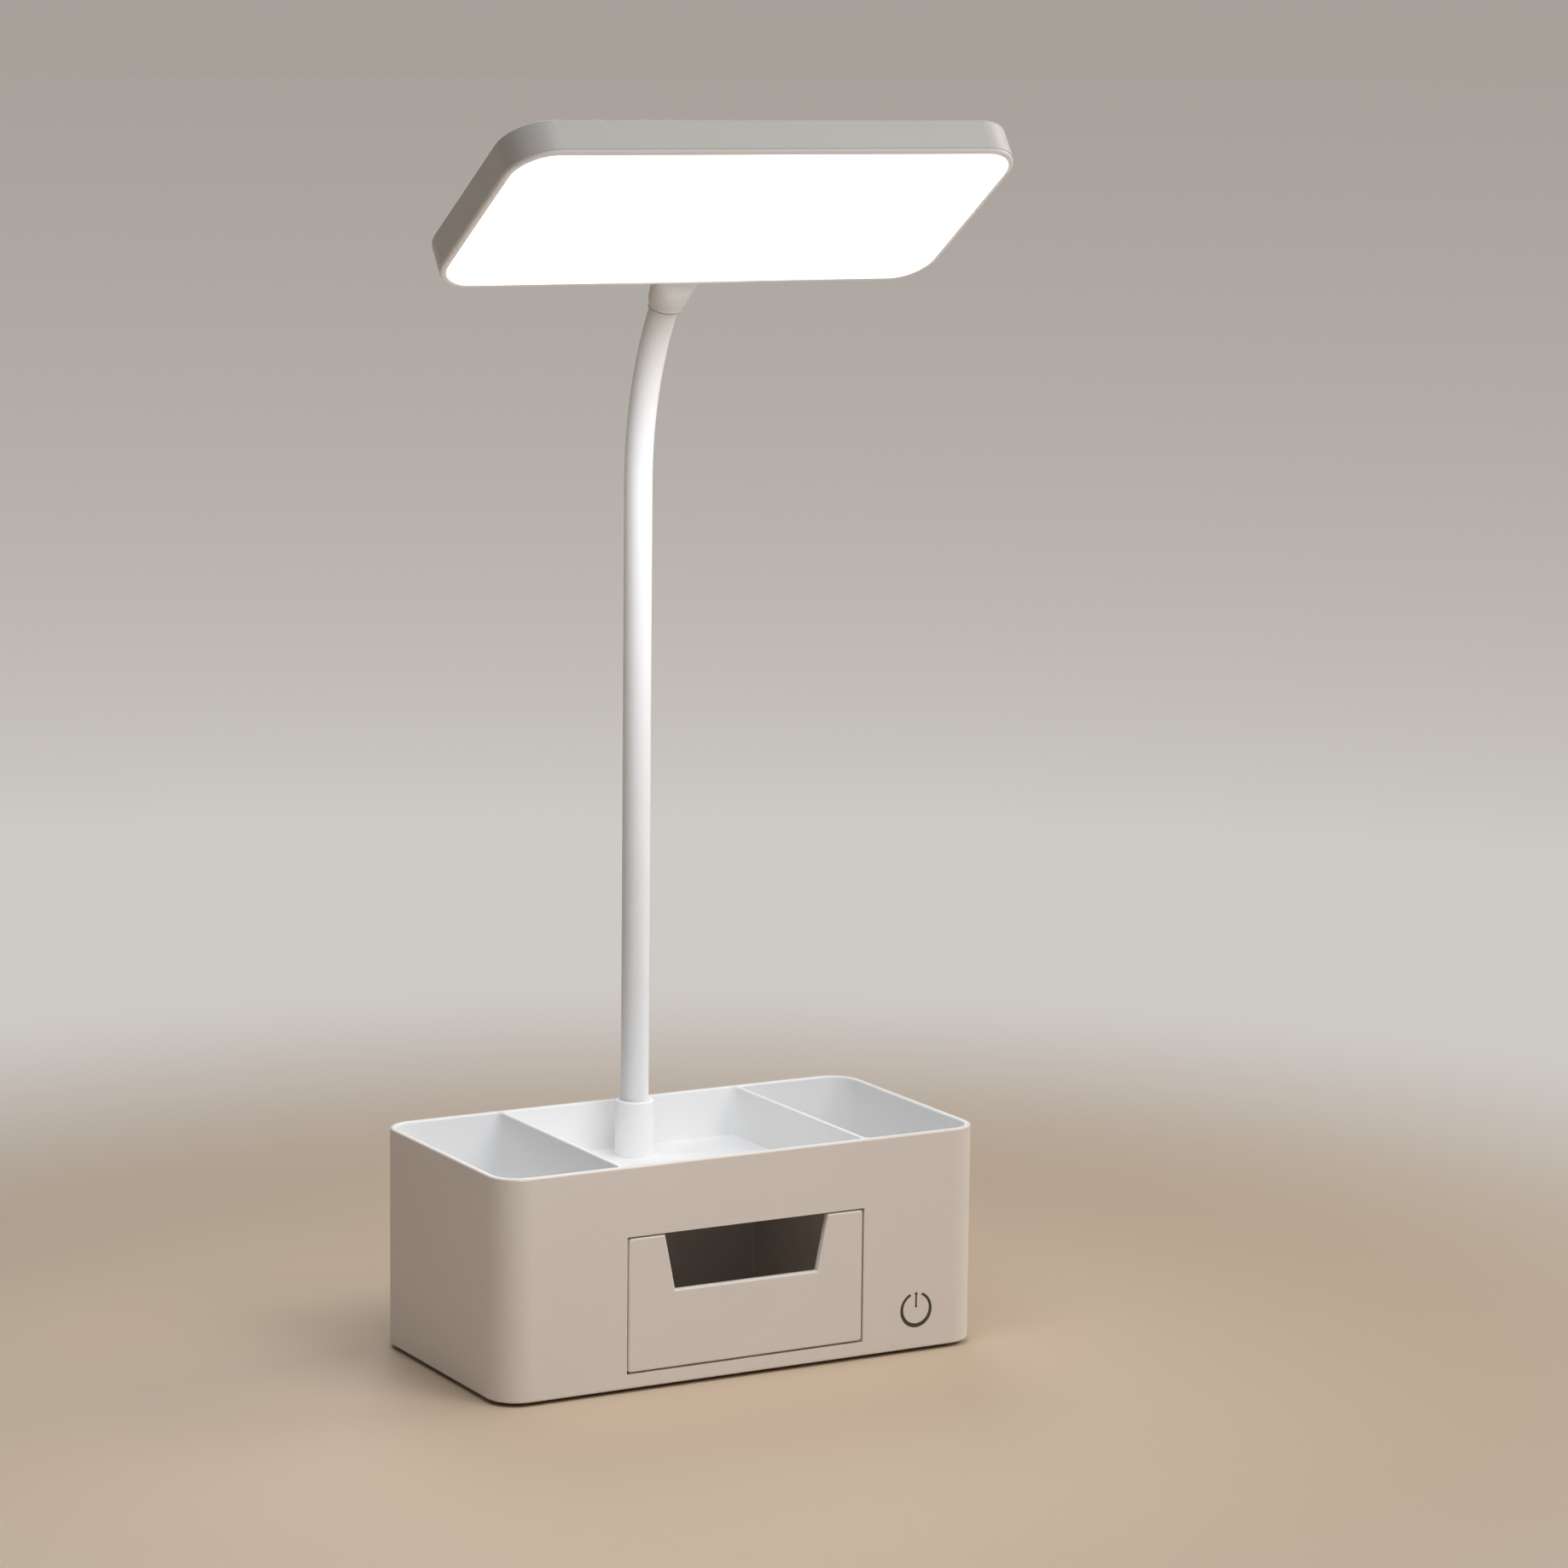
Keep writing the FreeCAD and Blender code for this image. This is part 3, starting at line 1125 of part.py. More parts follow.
def make_head_pieces():
    face = head_slab("bezel_face", "bezel_step", ("0", "bezel_lip"))
    lip = rounded("bezel_soft", face, "bezel_round", at_height(0))
    skirt = head_slab("bezel_skirt_blank", "(head_wall + fit_gap)",
                      ("bezel_lip / 2", "bezel_lip + bezel_skirt"))
    window = head_slab("bezel_window", "bezel_width", (-BEYOND, BEYOND))
    behind = head_slab("bezel_room", skirt_inset, ("bezel_lip", f"{BEYOND} + bezel_skirt"))
    frame = fuse("bezel_solid", [lip, skirt])
    keep(in_head(cut("head_bezel", frame, [window, behind])), "head_bezel")

    face = head_slab("diffuser_face", "(bezel_width + fit_gap)", ("0 - diffuser_proud", "bezel_lip"))
    soft = rounded("diffuser_soft", face, "diffuser_round", at_height(-value("diffuser_proud")))
    flange = head_slab("diffuser_flange_plate", f"({skirt_inset} + fit_gap)",
                       ("bezel_lip", guide_z))
    keep(in_head(fuse("diffuser", [soft, flange])), "diffuser")

    inset = f"({skirt_inset} + fit_gap)"
    keep(in_head(head_slab("light_guide", inset, (guide_z, reflector_z), guide_y)), "light_guide")
    keep(in_head(head_slab("reflector_sheet", inset, (reflector_z, backing_z), guide_y)), "reflector_sheet")
    plate = head_slab("backing_blank", inset, (backing_z, cavity_z), guide_y)
    screws = []
    sinks = []
    for index, (x, y) in enumerate(head_bosses(), 1):
        screws.append(head_screw(f"head_screw_{index}", x, y))
        sinks.append(head_screw(f"head_sink_{index}", x, y))
    keep(in_head(cut("backing_plate", plate, sinks)), "backing_plate")
    keep(in_head(group("head_screws", screws)), "head_screws")

    half_strip = "(head_length / 2 - strip_end)"
    strip = box(
        "strip_board",
        (f"-{half_strip}", half_strip),
        (f"0 - {strip_y} - strip_thickness", f"0 - {strip_y}"),
        (guide_z, strip_top),
    )
    tab = box(
        "strip_tab",
        ("-tab_x - tab_width / 2", "tab_width / 2 - tab_x"),
        (f"0 - {strip_y} - strip_thickness", f"0 - {strip_y}"),
        (strip_top, f"{lead_height} + tab_margin"),
    )
    keep(in_head(fuse("lamp_strip", [strip, tab])), "lamp_strip")
    pitch = f"(2 * {half_strip} / lamp_count)"
    front = f"(0 - {strip_y} - strip_thickness)"
    middle = f"({guide_z} + guide_thickness / 2)"
    lamps = []
    for index in range(int(value("lamp_count"))):
        x = f"({pitch} * ({index} + 0.5) - {half_strip})"
        lamps.append(box(
            f"lamp_{index + 1}",
            (f"{x} - lamp_width / 2", f"{x} + lamp_width / 2"),
            (f"{front} - lamp_depth", front),
            (f"{middle} - lamp_height / 2", f"{middle} + lamp_height / 2"),
        ))
    keep(in_head(group("strip_lamps", lamps)), "strip_lamps")

    fasteners = []
    for index, x in enumerate(neck_screws, 1):
        fasteners.append(fuse(f"neck_screw_{index}", [
            cylinder(f"neck_screw_head_{index}", "neck_screw_head", "neck_screw_height",
                     x, "0 - head_wall", neck_screw_z, 90),
            cylinder(f"neck_screw_shank_{index}", "head_screw", "head_wall + neck_screw_grip",
                     x, "neck_screw_grip", neck_screw_z, 90),
        ]))
    keep(in_head(group("neck_screws", fasteners)), "neck_screws")

    slope = "(90 - head_tilt - bend_angle)"
    back_along = "(neck_length - neck_socket)"
    rise = f"({lead_height} - {head_thickness} / 2)"
    lead = tube("head_lead", [
        (0, f"{back_along} * cos({slope})", f"{head_thickness} / 2 - {back_along} * sin({slope})"),
        (0, f"0 - {rise} / tan({slope})", lead_height),
        (0, "-head_lead_depth", lead_height),
        ("-tab_x", "-head_lead_depth", lead_height),
        ("-tab_x", front, lead_height),
    ], "head_lead_radius")
    keep(lead, "head_lead")
    tilt = FreeCAD.Rotation(FreeCAD.Vector(1, 0, 0), -value("head_tilt"))
    lead.Placement = FreeCAD.Placement(FreeCAD.Vector(0, value(head_y), value(head_z)), tilt)


def head_screw(name, x, y):
    """A flat-headed screw that points up from the backing plate's face."""
    cone = doc.addObject("Part::Cone", name + "_head")
    bind(cone, Radius1="head_screw_top", Radius2="head_screw", Height="backing_thickness")
    place(cone, x, y, backing_z)
    shank = cylinder(name + "_shank", "head_screw", head_screw_length, x, y, backing_z)
    return fuse(name, [cone, shank])


def make_neck():
    lower = doc.addObject("Part::Circle", "neck_lower")
    bind(lower, Radius=neck_radius)
    place(lower, 0, tip_y, tip_z, "bend_angle")
    middle = doc.addObject("Part::Ellipse", "neck_middle")
    bind(middle, MajorRadius=f"{neck_radius} + neck_spread", MinorRadius=neck_radius)
    place(middle, 0, f"({tip_y} - neck_bulge_height * sin(bend_angle))",
          f"({tip_z} + neck_bulge_height * cos(bend_angle))", "bend_angle")
    upper = doc.addObject("Part::Ellipse", "neck_upper")
    bind(upper, MajorRadius=f"{neck_radius} + neck_spread + neck_flare",
         MinorRadius=f"{neck_radius} - neck_taper")
    place(upper, 0, entry_y, entry_z, "90 - head_tilt")
    loft = doc.addObject("Part::Loft", "neck_loft")
    loft.Sections = [lower, middle, upper]
    loft.Solid = True
    socket = cylinder("neck_socket_hole", "arm_radius", f"neck_socket + {BEYOND}", 0,
                      f"({tip_y} + {BEYOND} * sin(bend_angle))",
                      f"({tip_z} - {BEYOND} * cos(bend_angle))", "bend_angle")
    way = cylinder("neck_lead_way", arm_bore, f"neck_length + {BEYOND}", 0, tip_y, tip_z, "bend_angle")
    tools = [socket, way]
    for index, x in enumerate(neck_screws, 1):
        lift = f"({neck_screw_z} - {head_thickness} / 2)"
        y = f"({entry_y} + {lift} * sin(head_tilt) + neck_screw_grip * cos(head_tilt))"
        z = f"({entry_z} + {lift} * cos(head_tilt) - neck_screw_grip * sin(head_tilt))"
        tools.append(cylinder(f"neck_screw_hole_{index}", "head_screw", f"neck_screw_grip + {BEYOND}",
                              x, y, z, "90 - head_tilt"))
    keep(cut("head_neck", loft, tools), "head_neck")


# ---- the whole lamp ----

keep(make_housing(), "base_housing")
keep(make_cover(), "bottom_cover")
make_fasteners()
make_ballast()
keep(make_drawer(), "drawer_box")
make_switch()
make_power()
make_leads()
make_collar()
make_arm()
make_neck()
make_head_shell()
make_head_pieces()
doc.recompute()

faults = [item.Name for item in doc.Objects if {"Invalid", "Error"} & set(item.State)]
for item in NODES:
    if item.Shape.isNull() or not item.Shape.isValid() or not item.Shape.Solids:
        faults.append(item.Label)
if faults:
    raise RuntimeError("these objects failed: " + ", ".join(faults))

os.makedirs("parts", exist_ok=True)
for item in NODES:
    item.Shape.exportStep(f"parts/{item.Label}.step")
print(f"{len(NODES)} pieces written")
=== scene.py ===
import json
import math

import bpy
import numpy as np
from mathutils import Matrix, Vector

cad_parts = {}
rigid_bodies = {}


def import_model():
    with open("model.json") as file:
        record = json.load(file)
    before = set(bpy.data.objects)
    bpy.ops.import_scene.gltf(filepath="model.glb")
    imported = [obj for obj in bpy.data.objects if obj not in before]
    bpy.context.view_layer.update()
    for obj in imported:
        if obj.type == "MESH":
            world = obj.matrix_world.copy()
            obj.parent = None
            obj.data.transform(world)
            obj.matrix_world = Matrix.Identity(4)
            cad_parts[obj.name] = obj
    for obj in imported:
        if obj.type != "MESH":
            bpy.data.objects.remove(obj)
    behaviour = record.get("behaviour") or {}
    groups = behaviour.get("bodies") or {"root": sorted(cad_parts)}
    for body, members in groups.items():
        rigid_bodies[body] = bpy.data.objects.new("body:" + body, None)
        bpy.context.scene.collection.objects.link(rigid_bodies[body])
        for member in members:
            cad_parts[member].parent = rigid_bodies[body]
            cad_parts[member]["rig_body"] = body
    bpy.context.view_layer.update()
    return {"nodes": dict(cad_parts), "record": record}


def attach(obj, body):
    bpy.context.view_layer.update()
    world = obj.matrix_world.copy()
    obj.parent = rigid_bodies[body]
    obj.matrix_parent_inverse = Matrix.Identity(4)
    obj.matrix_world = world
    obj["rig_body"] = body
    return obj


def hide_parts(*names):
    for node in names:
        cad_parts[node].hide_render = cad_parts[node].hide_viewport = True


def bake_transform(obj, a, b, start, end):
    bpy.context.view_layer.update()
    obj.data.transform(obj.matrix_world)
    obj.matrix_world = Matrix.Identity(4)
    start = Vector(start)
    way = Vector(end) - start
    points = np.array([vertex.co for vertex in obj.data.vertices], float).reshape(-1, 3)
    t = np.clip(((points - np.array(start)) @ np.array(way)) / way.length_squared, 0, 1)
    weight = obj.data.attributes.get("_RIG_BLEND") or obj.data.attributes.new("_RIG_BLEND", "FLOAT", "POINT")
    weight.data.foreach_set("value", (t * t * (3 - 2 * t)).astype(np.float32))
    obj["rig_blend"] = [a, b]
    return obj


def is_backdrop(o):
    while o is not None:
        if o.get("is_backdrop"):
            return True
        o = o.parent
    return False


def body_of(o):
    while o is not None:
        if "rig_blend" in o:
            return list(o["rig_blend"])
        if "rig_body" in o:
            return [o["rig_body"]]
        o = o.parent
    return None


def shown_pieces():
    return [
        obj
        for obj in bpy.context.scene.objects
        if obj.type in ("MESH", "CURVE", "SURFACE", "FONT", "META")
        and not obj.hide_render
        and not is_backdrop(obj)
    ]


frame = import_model()
nodes = frame["nodes"]
print("frame loaded,", len(nodes), "nodes")

mm = 0.001


# camera

cameraView = {
    "place": (-0.83447, -1.56377, 0.48995),
    "right": (0.87298847, -0.48762702, 0.01053693),
    "up": (0.06613464, 0.13974824, 0.98797603),
    "lens": 111.37,  # for a square frame on a 36 mm sensor
    "sensor": 36.0,
    "nearest": 0.05,
    "farthest": 60.0,
}


def makeCamera(view):
    data = bpy.data.cameras.new("camera")
    data.sensor_width = view["sensor"]
    data.lens = view["lens"]
    data.clip_start = view["nearest"]
    data.clip_end = view["farthest"]
    camera = bpy.data.objects.new("camera", data)
    bpy.context.scene.collection.objects.link(camera)
    right, up = Vector(view["right"]), Vector(view["up"])
    turn = Matrix((right, up, right.cross(up))).transposed()
    camera.matrix_world = Matrix.Translation(view["place"]) @ turn.to_4x4()
    bpy.context.scene.camera = camera


makeCamera(cameraView)
print("camera placed")


# material helpers

noiseBand = (0.3, 0.7)  # nearly all of a noise lies between these
cloudBand = (0.35, 0.65)
edgeReach = 0.08  # an edge counts in full where its normal has turned this far


def feed(tree, node, socket, value):
    if isinstance(value, bpy.types.NodeSocket):
        tree.links.new(value, node.inputs[socket])
    else:
        node.inputs[socket].default_value = value


def addNode(tree, kind, inputs=None, **settings):
    node = tree.nodes.new("ShaderNode" + kind)
    for key, value in settings.items():
        setattr(node, key, value)
    for socket, value in (inputs or {}).items():
        feed(tree, node, socket, value)
    return node


def full(colour):
    return colour if isinstance(colour, bpy.types.NodeSocket) else (*colour, 1.0)


def objectPlace(tree, stretch=None):
    place = addNode(tree, "TexCoord").outputs["Object"]
    if stretch is None:
        return place
    return addNode(tree, "Mapping", {"Vector": place, "Scale": stretch}).outputs["Vector"]


def noise(tree, scale, detail=2.0, roughness=0.5, place=None):
    inputs = {"Vector": place or objectPlace(tree), "Scale": scale}
    inputs.update({"Detail": detail, "Roughness": roughness})
    return addNode(tree, "TexNoise", inputs).outputs["Fac"]


def remap(tree, value, low, high, toLow=0.0, toHigh=1.0):
    inputs = {"Value": value, "From Min": low, "From Max": high, "To Min": toLow, "To Max": toHigh}
    return addNode(tree, "MapRange", inputs).outputs["Result"]


def uneven(tree, pattern, ends):
    # a roughness that wanders between its two ends with a noise
    return remap(tree, pattern, *noiseBand, *ends)


def calculate(tree, operation, first, second):
    return addNode(tree, "Math", {0: first, 1: second}, operation=operation).outputs[0]


def calculateVector(tree, operation, first, second=(0.0, 0.0, 0.0), result="Vector"):
    return addNode(tree, "VectorMath", {0: first, 1: second}, operation=operation).outputs[result]


def mixColours(tree, factor, first, second):
    inputs = {0: factor, 6: full(first), 7: full(second)}
    return addNode(tree, "Mix", inputs, data_type="RGBA").outputs[2]


def bump(tree, height, depth):
    inputs = {"Height": height, "Distance": depth, "Strength": 1.0}
    return addNode(tree, "Bump", inputs).outputs["Normal"]


def edgeMask(tree, radius):
    # 1 where a rounded edge of the given radius would turn away from the face
    soft = addNode(tree, "Bevel", {"Radius": radius}, samples=4).outputs["Normal"]
    true = addNode(tree, "NewGeometry").outputs["Normal"]
    straight = calculateVector(tree, "DOT_PRODUCT", soft, true, "Value")
    return remap(tree, straight, 1.0, 1.0 - edgeReach)


def startMaterial(name):
    material = bpy.data.materials.new(name)
    material.use_nodes = True
    tree = material.node_tree
    return material, tree, tree.nodes["Principled BSDF"]


# moulded plastic and rubber: clouds in the colour, specks, edges lightened partly as wear and partly as a
# painted highlight, fine grain

mouldings = {
    # its warm beige is partly the plastic's own tint and partly painted light, the warm bounce from the desk
    # on the base's outside
    "base_plastic": {
        "colour": (0.83, 0.762, 0.705), "shade": (0.845, 0.78, 0.728), "clouds": 9.0,
        "specks": 900.0, "speckShare": 0.06, "speckColour": (0.60, 0.57, 0.53),
        "edge": 0.6 * mm, "edgeShare": 0.5, "edgeWearAndHighlight": (0.90, 0.895, 0.885),
        "glossScale": 70.0, "rough": (0.40, 0.54), "grain": 2600.0, "grainDepth": 0.02 * mm, "ior": 1.46,
    },
    "head_plastic": {
        "colour": (0.82, 0.817, 0.81), "shade": (0.84, 0.838, 0.832), "clouds": 8.0,
        "specks": 900.0, "speckShare": 0.05, "speckColour": (0.60, 0.59, 0.57),
        "edge": 0.6 * mm, "edgeShare": 0.4, "edgeWearAndHighlight": (0.90, 0.895, 0.89),
        "glossScale": 80.0, "rough": (0.38, 0.50), "grain": 2600.0, "grainDepth": 0.015 * mm, "ior": 1.46,
    },
    "sleeve": {
        "colour": (0.91, 0.915, 0.925), "shade": (0.925, 0.93, 0.94), "clouds": 30.0,
        "specks": 1400.0, "speckShare": 0.05, "speckColour": (0.64, 0.63, 0.61),
        "edge": 0.4 * mm, "edgeShare": 0.3, "edgeWearAndHighlight": (0.92, 0.92, 0.92),
        "glossScale": 160.0, "rough": (0.34, 0.46), "grain": 3800.0, "grainDepth": 0.004 * mm, "ior": 1.43,
    },
    "lead": {
        "colour": (0.60, 0.59, 0.57), "shade": (0.66, 0.65, 0.63), "clouds": 60.0,
        "specks": 1500.0, "speckShare": 0.2, "speckColour": (0.40, 0.39, 0.37),
        "edge": 0.3 * mm, "edgeShare": 0.3, "edgeWearAndHighlight": (0.75, 0.74, 0.72),
        "glossScale": 200.0, "rough": (0.42, 0.6), "grain": 3000.0, "grainDepth": 0.03 * mm, "ior": 1.5,
    },
    "feet": {
        "colour": (0.052, 0.052, 0.055), "shade": (0.080, 0.079, 0.080), "clouds": 120.0,
        "specks": 1200.0, "speckShare": 0.35, "speckColour": (0.16, 0.155, 0.15),
        "edge": 0.5 * mm, "edgeShare": 0.6, "edgeWearAndHighlight": (0.17, 0.168, 0.165),
        "glossScale": 300.0, "rough": (0.72, 0.9), "grain": 1800.0, "grainDepth": 0.05 * mm, "ior": 1.5,
    },
    "cell": {
        "colour": (0.045, 0.19, 0.34), "shade": (0.05, 0.22, 0.39), "clouds": 40.0,
        "specks": 800.0, "speckShare": 0.2, "speckColour": (0.10, 0.30, 0.46),
        "edge": 0.7 * mm, "edgeShare": 0.5, "edgeWearAndHighlight": (0.2, 0.4, 0.55),
        "glossScale": 90.0, "rough": (0.22, 0.36), "grain": 900.0, "grainDepth": 0.03 * mm, "ior": 1.5,
    },
    # on the base's bottom cover this black is partly painted shade, darkening the gap under the base
    "dark_plastic": {
        "colour": (0.012, 0.012, 0.013), "shade": (0.020, 0.020, 0.021), "clouds": 60.0,
        "specks": 900.0, "speckShare": 0.3, "speckColour": (0.05, 0.05, 0.05),
        "edge": 0.4 * mm, "edgeShare": 0.6, "edgeWearAndHighlight": (0.07, 0.07, 0.07),
        "glossScale": 160.0, "rough": (0.38, 0.55), "grain": 2200.0, "grainDepth": 0.03 * mm, "ior": 1.5,
    },
    "foam": {
        "colour": (0.09, 0.09, 0.095), "shade": (0.14, 0.14, 0.145), "clouds": 200.0,
        "specks": 1500.0, "speckShare": 0.7, "speckColour": (0.03, 0.03, 0.03),
        "edge": 0.4 * mm, "edgeShare": 0.4, "edgeWearAndHighlight": (0.2, 0.2, 0.2),
        "glossScale": 400.0, "rough": (0.85, 0.98), "grain": 1400.0, "grainDepth": 0.12 * mm, "ior": 1.4,
    },
    "mark": {
        "colour": (0.052, 0.040, 0.027), "shade": (0.066, 0.052, 0.037), "clouds": 400.0,
        "specks": 2500.0, "speckShare": 0.25, "speckColour": (0.12, 0.10, 0.08),
        "edge": 0.15 * mm, "edgeShare": 0.4, "edgeWearAndHighlight": (0.14, 0.12, 0.10),
        "glossScale": 700.0, "rough": (0.42, 0.6), "grain": 3000.0, "grainDepth": 0.01 * mm, "ior": 1.5,
    },
    "white_sheet": {
        "colour": (0.86, 0.86, 0.86), "shade": (0.82, 0.82, 0.815), "clouds": 25.0,
        "specks": 1200.0, "speckShare": 0.1, "speckColour": (0.7, 0.7, 0.7),
        "edge": 0.2 * mm, "edgeShare": 0.2, "edgeWearAndHighlight": (0.9, 0.9, 0.9),
        "glossScale": 120.0, "rough": (0.5, 0.7), "grain": 1600.0, "grainDepth": 0.01 * mm, "ior": 1.5,
    },
}
speckBand = (0.66, 0.78)  # only the peaks of a noise are specks


def mouldedPlastic(name, look):
    material, tree, shader = startMaterial(name)
    clouds = remap(tree, noise(tree, look["clouds"], detail=3.0), *cloudBand)
    colour = mixColours(tree, clouds, look["colour"], look["shade"])
    specks = remap(tree, noise(tree, look["specks"], detail=1.0), *speckBand)
    specks = calculate(tree, "MULTIPLY", specks, look["speckShare"])
    colour = mixColours(tree, specks, colour, look["speckColour"])
    # edges turn lighter: partly wear, partly a painted highlight where a rounded edge would catch the light
    edges = calculate(tree, "MULTIPLY", edgeMask(tree, look["edge"]), look["edgeShare"])
    feed(tree, shader, "Base Color", mixColours(tree, edges, colour, look["edgeWearAndHighlight"]))
    gloss = noise(tree, look["glossScale"], detail=4.0, roughness=0.6)
    feed(tree, shader, "Roughness", uneven(tree, gloss, look["rough"]))
    grain = noise(tree, look["grain"], detail=2.0, roughness=0.6)
    feed(tree, shader, "Normal", bump(tree, grain, look["grainDepth"]))
    feed(tree, shader, "IOR", look["ior"])
    return material


# metal: stretched brush lines, clouds, edges brightened partly as wear and partly as a painted highlight

metals = {
    "steel": {
        "colour": (0.50, 0.50, 0.51), "shade": (0.60, 0.60, 0.60), "clouds": 90.0,
        "brush": (300.0, 300.0, 4000.0), "brushDepth": 0.01 * mm, "rough": (0.24, 0.42),
        "edge": 0.3 * mm, "edgeShare": 0.6, "edgeWearAndHighlight": (0.80, 0.80, 0.80),
    },
    "aluminium": {
        "colour": (0.66, 0.66, 0.67), "shade": (0.74, 0.74, 0.74), "clouds": 90.0,
        "brush": (60.0, 3000.0, 3000.0), "brushDepth": 0.01 * mm, "rough": (0.30, 0.48),
        "edge": 0.3 * mm, "edgeShare": 0.6, "edgeWearAndHighlight": (0.88, 0.88, 0.88),
    },
}


def brushedMetal(name, look):
    material, tree, shader = startMaterial(name)
    lines = noise(tree, 1.0, detail=3.0, roughness=0.6, place=objectPlace(tree, look["brush"]))
    clouds = remap(tree, noise(tree, look["clouds"], detail=3.0), *noiseBand)
    colour = mixColours(tree, clouds, look["colour"], look["shade"])
    # edges turn brighter: partly wear, partly a painted highlight where a rounded edge would catch the light
    edges = calculate(tree, "MULTIPLY", edgeMask(tree, look["edge"]), look["edgeShare"])
    feed(tree, shader, "Base Color", mixColours(tree, edges, colour, look["edgeWearAndHighlight"]))
    feed(tree, shader, "Metallic", 1.0)
    feed(tree, shader, "Roughness", uneven(tree, lines, look["rough"]))
    feed(tree, shader, "Normal", bump(tree, lines, look["brushDepth"]))
    return material


# circuit boards: a mask colour, copper runs in two directions, bare pads

boards = {
    "board": {
        "mask": (0.010, 0.085, 0.035), "run": (0.022, 0.15, 0.06), "pad": (0.62, 0.55, 0.36),
        "rough": (0.22, 0.34),
    },
    "strip": {
        "mask": (0.80, 0.80, 0.78), "run": (0.70, 0.70, 0.68), "pad": (0.62, 0.60, 0.55),
        "rough": (0.35, 0.5),
    },
}
boardPattern = {
    "runs": 160.0, "wander": 3.0, "wanderScale": 0.2, "runBand": (0.70, 0.76), "runHeight": 0.03 * mm,
    "pads": 420.0, "padBand": (0.16, 0.12), "grain": 700.0,
}


def copperRuns(tree, place, pattern, direction):
    inputs = {"Vector": place, "Scale": pattern["runs"], "Distortion": pattern["wander"], "Detail": 0.0,
              "Detail Scale": pattern["wanderScale"]}
    wave = addNode(tree, "TexWave", inputs, bands_direction=direction)
    return remap(tree, wave.outputs["Fac"], *pattern["runBand"])


def circuitBoard(name, look, pattern):
    material, tree, shader = startMaterial(name)
    place = objectPlace(tree)
    along, across = (copperRuns(tree, place, pattern, direction) for direction in ("X", "Z"))
    runs = calculate(tree, "MAXIMUM", along, across)
    colour = mixColours(tree, runs, look["mask"], look["run"])
    spots = addNode(tree, "TexVoronoi", {"Vector": place, "Scale": pattern["pads"]}).outputs["Distance"]
    pads = remap(tree, spots, *pattern["padBand"])
    feed(tree, shader, "Base Color", mixColours(tree, pads, colour, look["pad"]))
    grain = noise(tree, pattern["grain"], detail=3.0)
    feed(tree, shader, "Roughness", uneven(tree, grain, look["rough"]))
    feed(tree, shader, "Normal", bump(tree, runs, pattern["runHeight"]))
    return material


# light panel: milky plastic that glows, a little less along its rim

panelGlow = {
    "colour": (0.86, 0.86, 0.855), "shade": (0.89, 0.89, 0.885), "clouds": 14.0,
    "glow": (1.0, 0.985, 0.96), "rimGlow": (0.93, 0.915, 0.895), "strength": 1.25,
    "edge": 1.2 * mm, "rimShare": 0.8, "cloudShare": 0.15,
    "glossScale": 300.0, "rough": (0.42, 0.55), "grain": 2400.0, "grainDepth": 0.008 * mm,
}


def glowingPanel(name, look):
    material, tree, shader = startMaterial(name)
    clouds = remap(tree, noise(tree, look["clouds"], detail=3.0), *cloudBand)
    feed(tree, shader, "Base Color", mixColours(tree, clouds, look["colour"], look["shade"]))
    rim = calculate(tree, "MULTIPLY", edgeMask(tree, look["edge"]), look["rimShare"])
    drift = calculate(tree, "MULTIPLY", clouds, look["cloudShare"])
    dim = calculate(tree, "MAXIMUM", rim, drift)
    feed(tree, shader, "Emission Color", mixColours(tree, dim, look["glow"], look["rimGlow"]))
    feed(tree, shader, "Emission Strength", look["strength"])
    gloss = noise(tree, look["glossScale"], detail=3.0)
    feed(tree, shader, "Roughness", uneven(tree, gloss, look["rough"]))
    feed(tree, shader, "Normal", bump(tree, noise(tree, look["grain"]), look["grainDepth"]))
    return material


# the strip's lamps: a yellow patch of phosphor in a white case

ledLook = {
    "case": (0.82, 0.81, 0.78), "phosphor": (0.80, 0.62, 0.12), "patches": 260.0, "patchBand": (0.44, 0.56),
    "patchHeight": 0.05 * mm, "glossScale": 900.0, "rough": (0.3, 0.45),
}


def ledLamp(name, look):
    material, tree, shader = startMaterial(name)
    patch = remap(tree, noise(tree, look["patches"], detail=1.0), *look["patchBand"])
    feed(tree, shader, "Base Color", mixColours(tree, patch, look["case"], look["phosphor"]))
    feed(tree, shader, "Roughness", uneven(tree, noise(tree, look["glossScale"]), look["rough"]))
    feed(tree, shader, "Normal", bump(tree, patch, look["patchHeight"]))
    return material


# light guide: clear acrylic with etched dots

guideLook = {
    "colour": (0.93, 0.95, 0.95), "etched": (0.98, 0.98, 0.98), "clear": 0.9, "ior": 1.49,
    "dots": 260.0, "dotBand": (0.34, 0.28), "dotHeight": 0.02 * mm, "rough": (0.05, 0.5),
}


def clearGuide(name, look):
    material, tree, shader = startMaterial(name)
    spots = addNode(tree, "TexVoronoi", {"Vector": objectPlace(tree), "Scale": look["dots"]})
    dots = remap(tree, spots.outputs["Distance"], *look["dotBand"])
    feed(tree, shader, "Base Color", mixColours(tree, dots, look["colour"], look["etched"]))
    feed(tree, shader, "Transmission Weight", look["clear"])
    feed(tree, shader, "IOR", look["ior"])
    feed(tree, shader, "Roughness", remap(tree, dots, 0.0, 1.0, *look["rough"]))
    feed(tree, shader, "Normal", bump(tree, dots, look["dotHeight"]))
    return material


# bezel: the head's plastic with a painted glow that stands in for the panel's light through it, most at its
# face

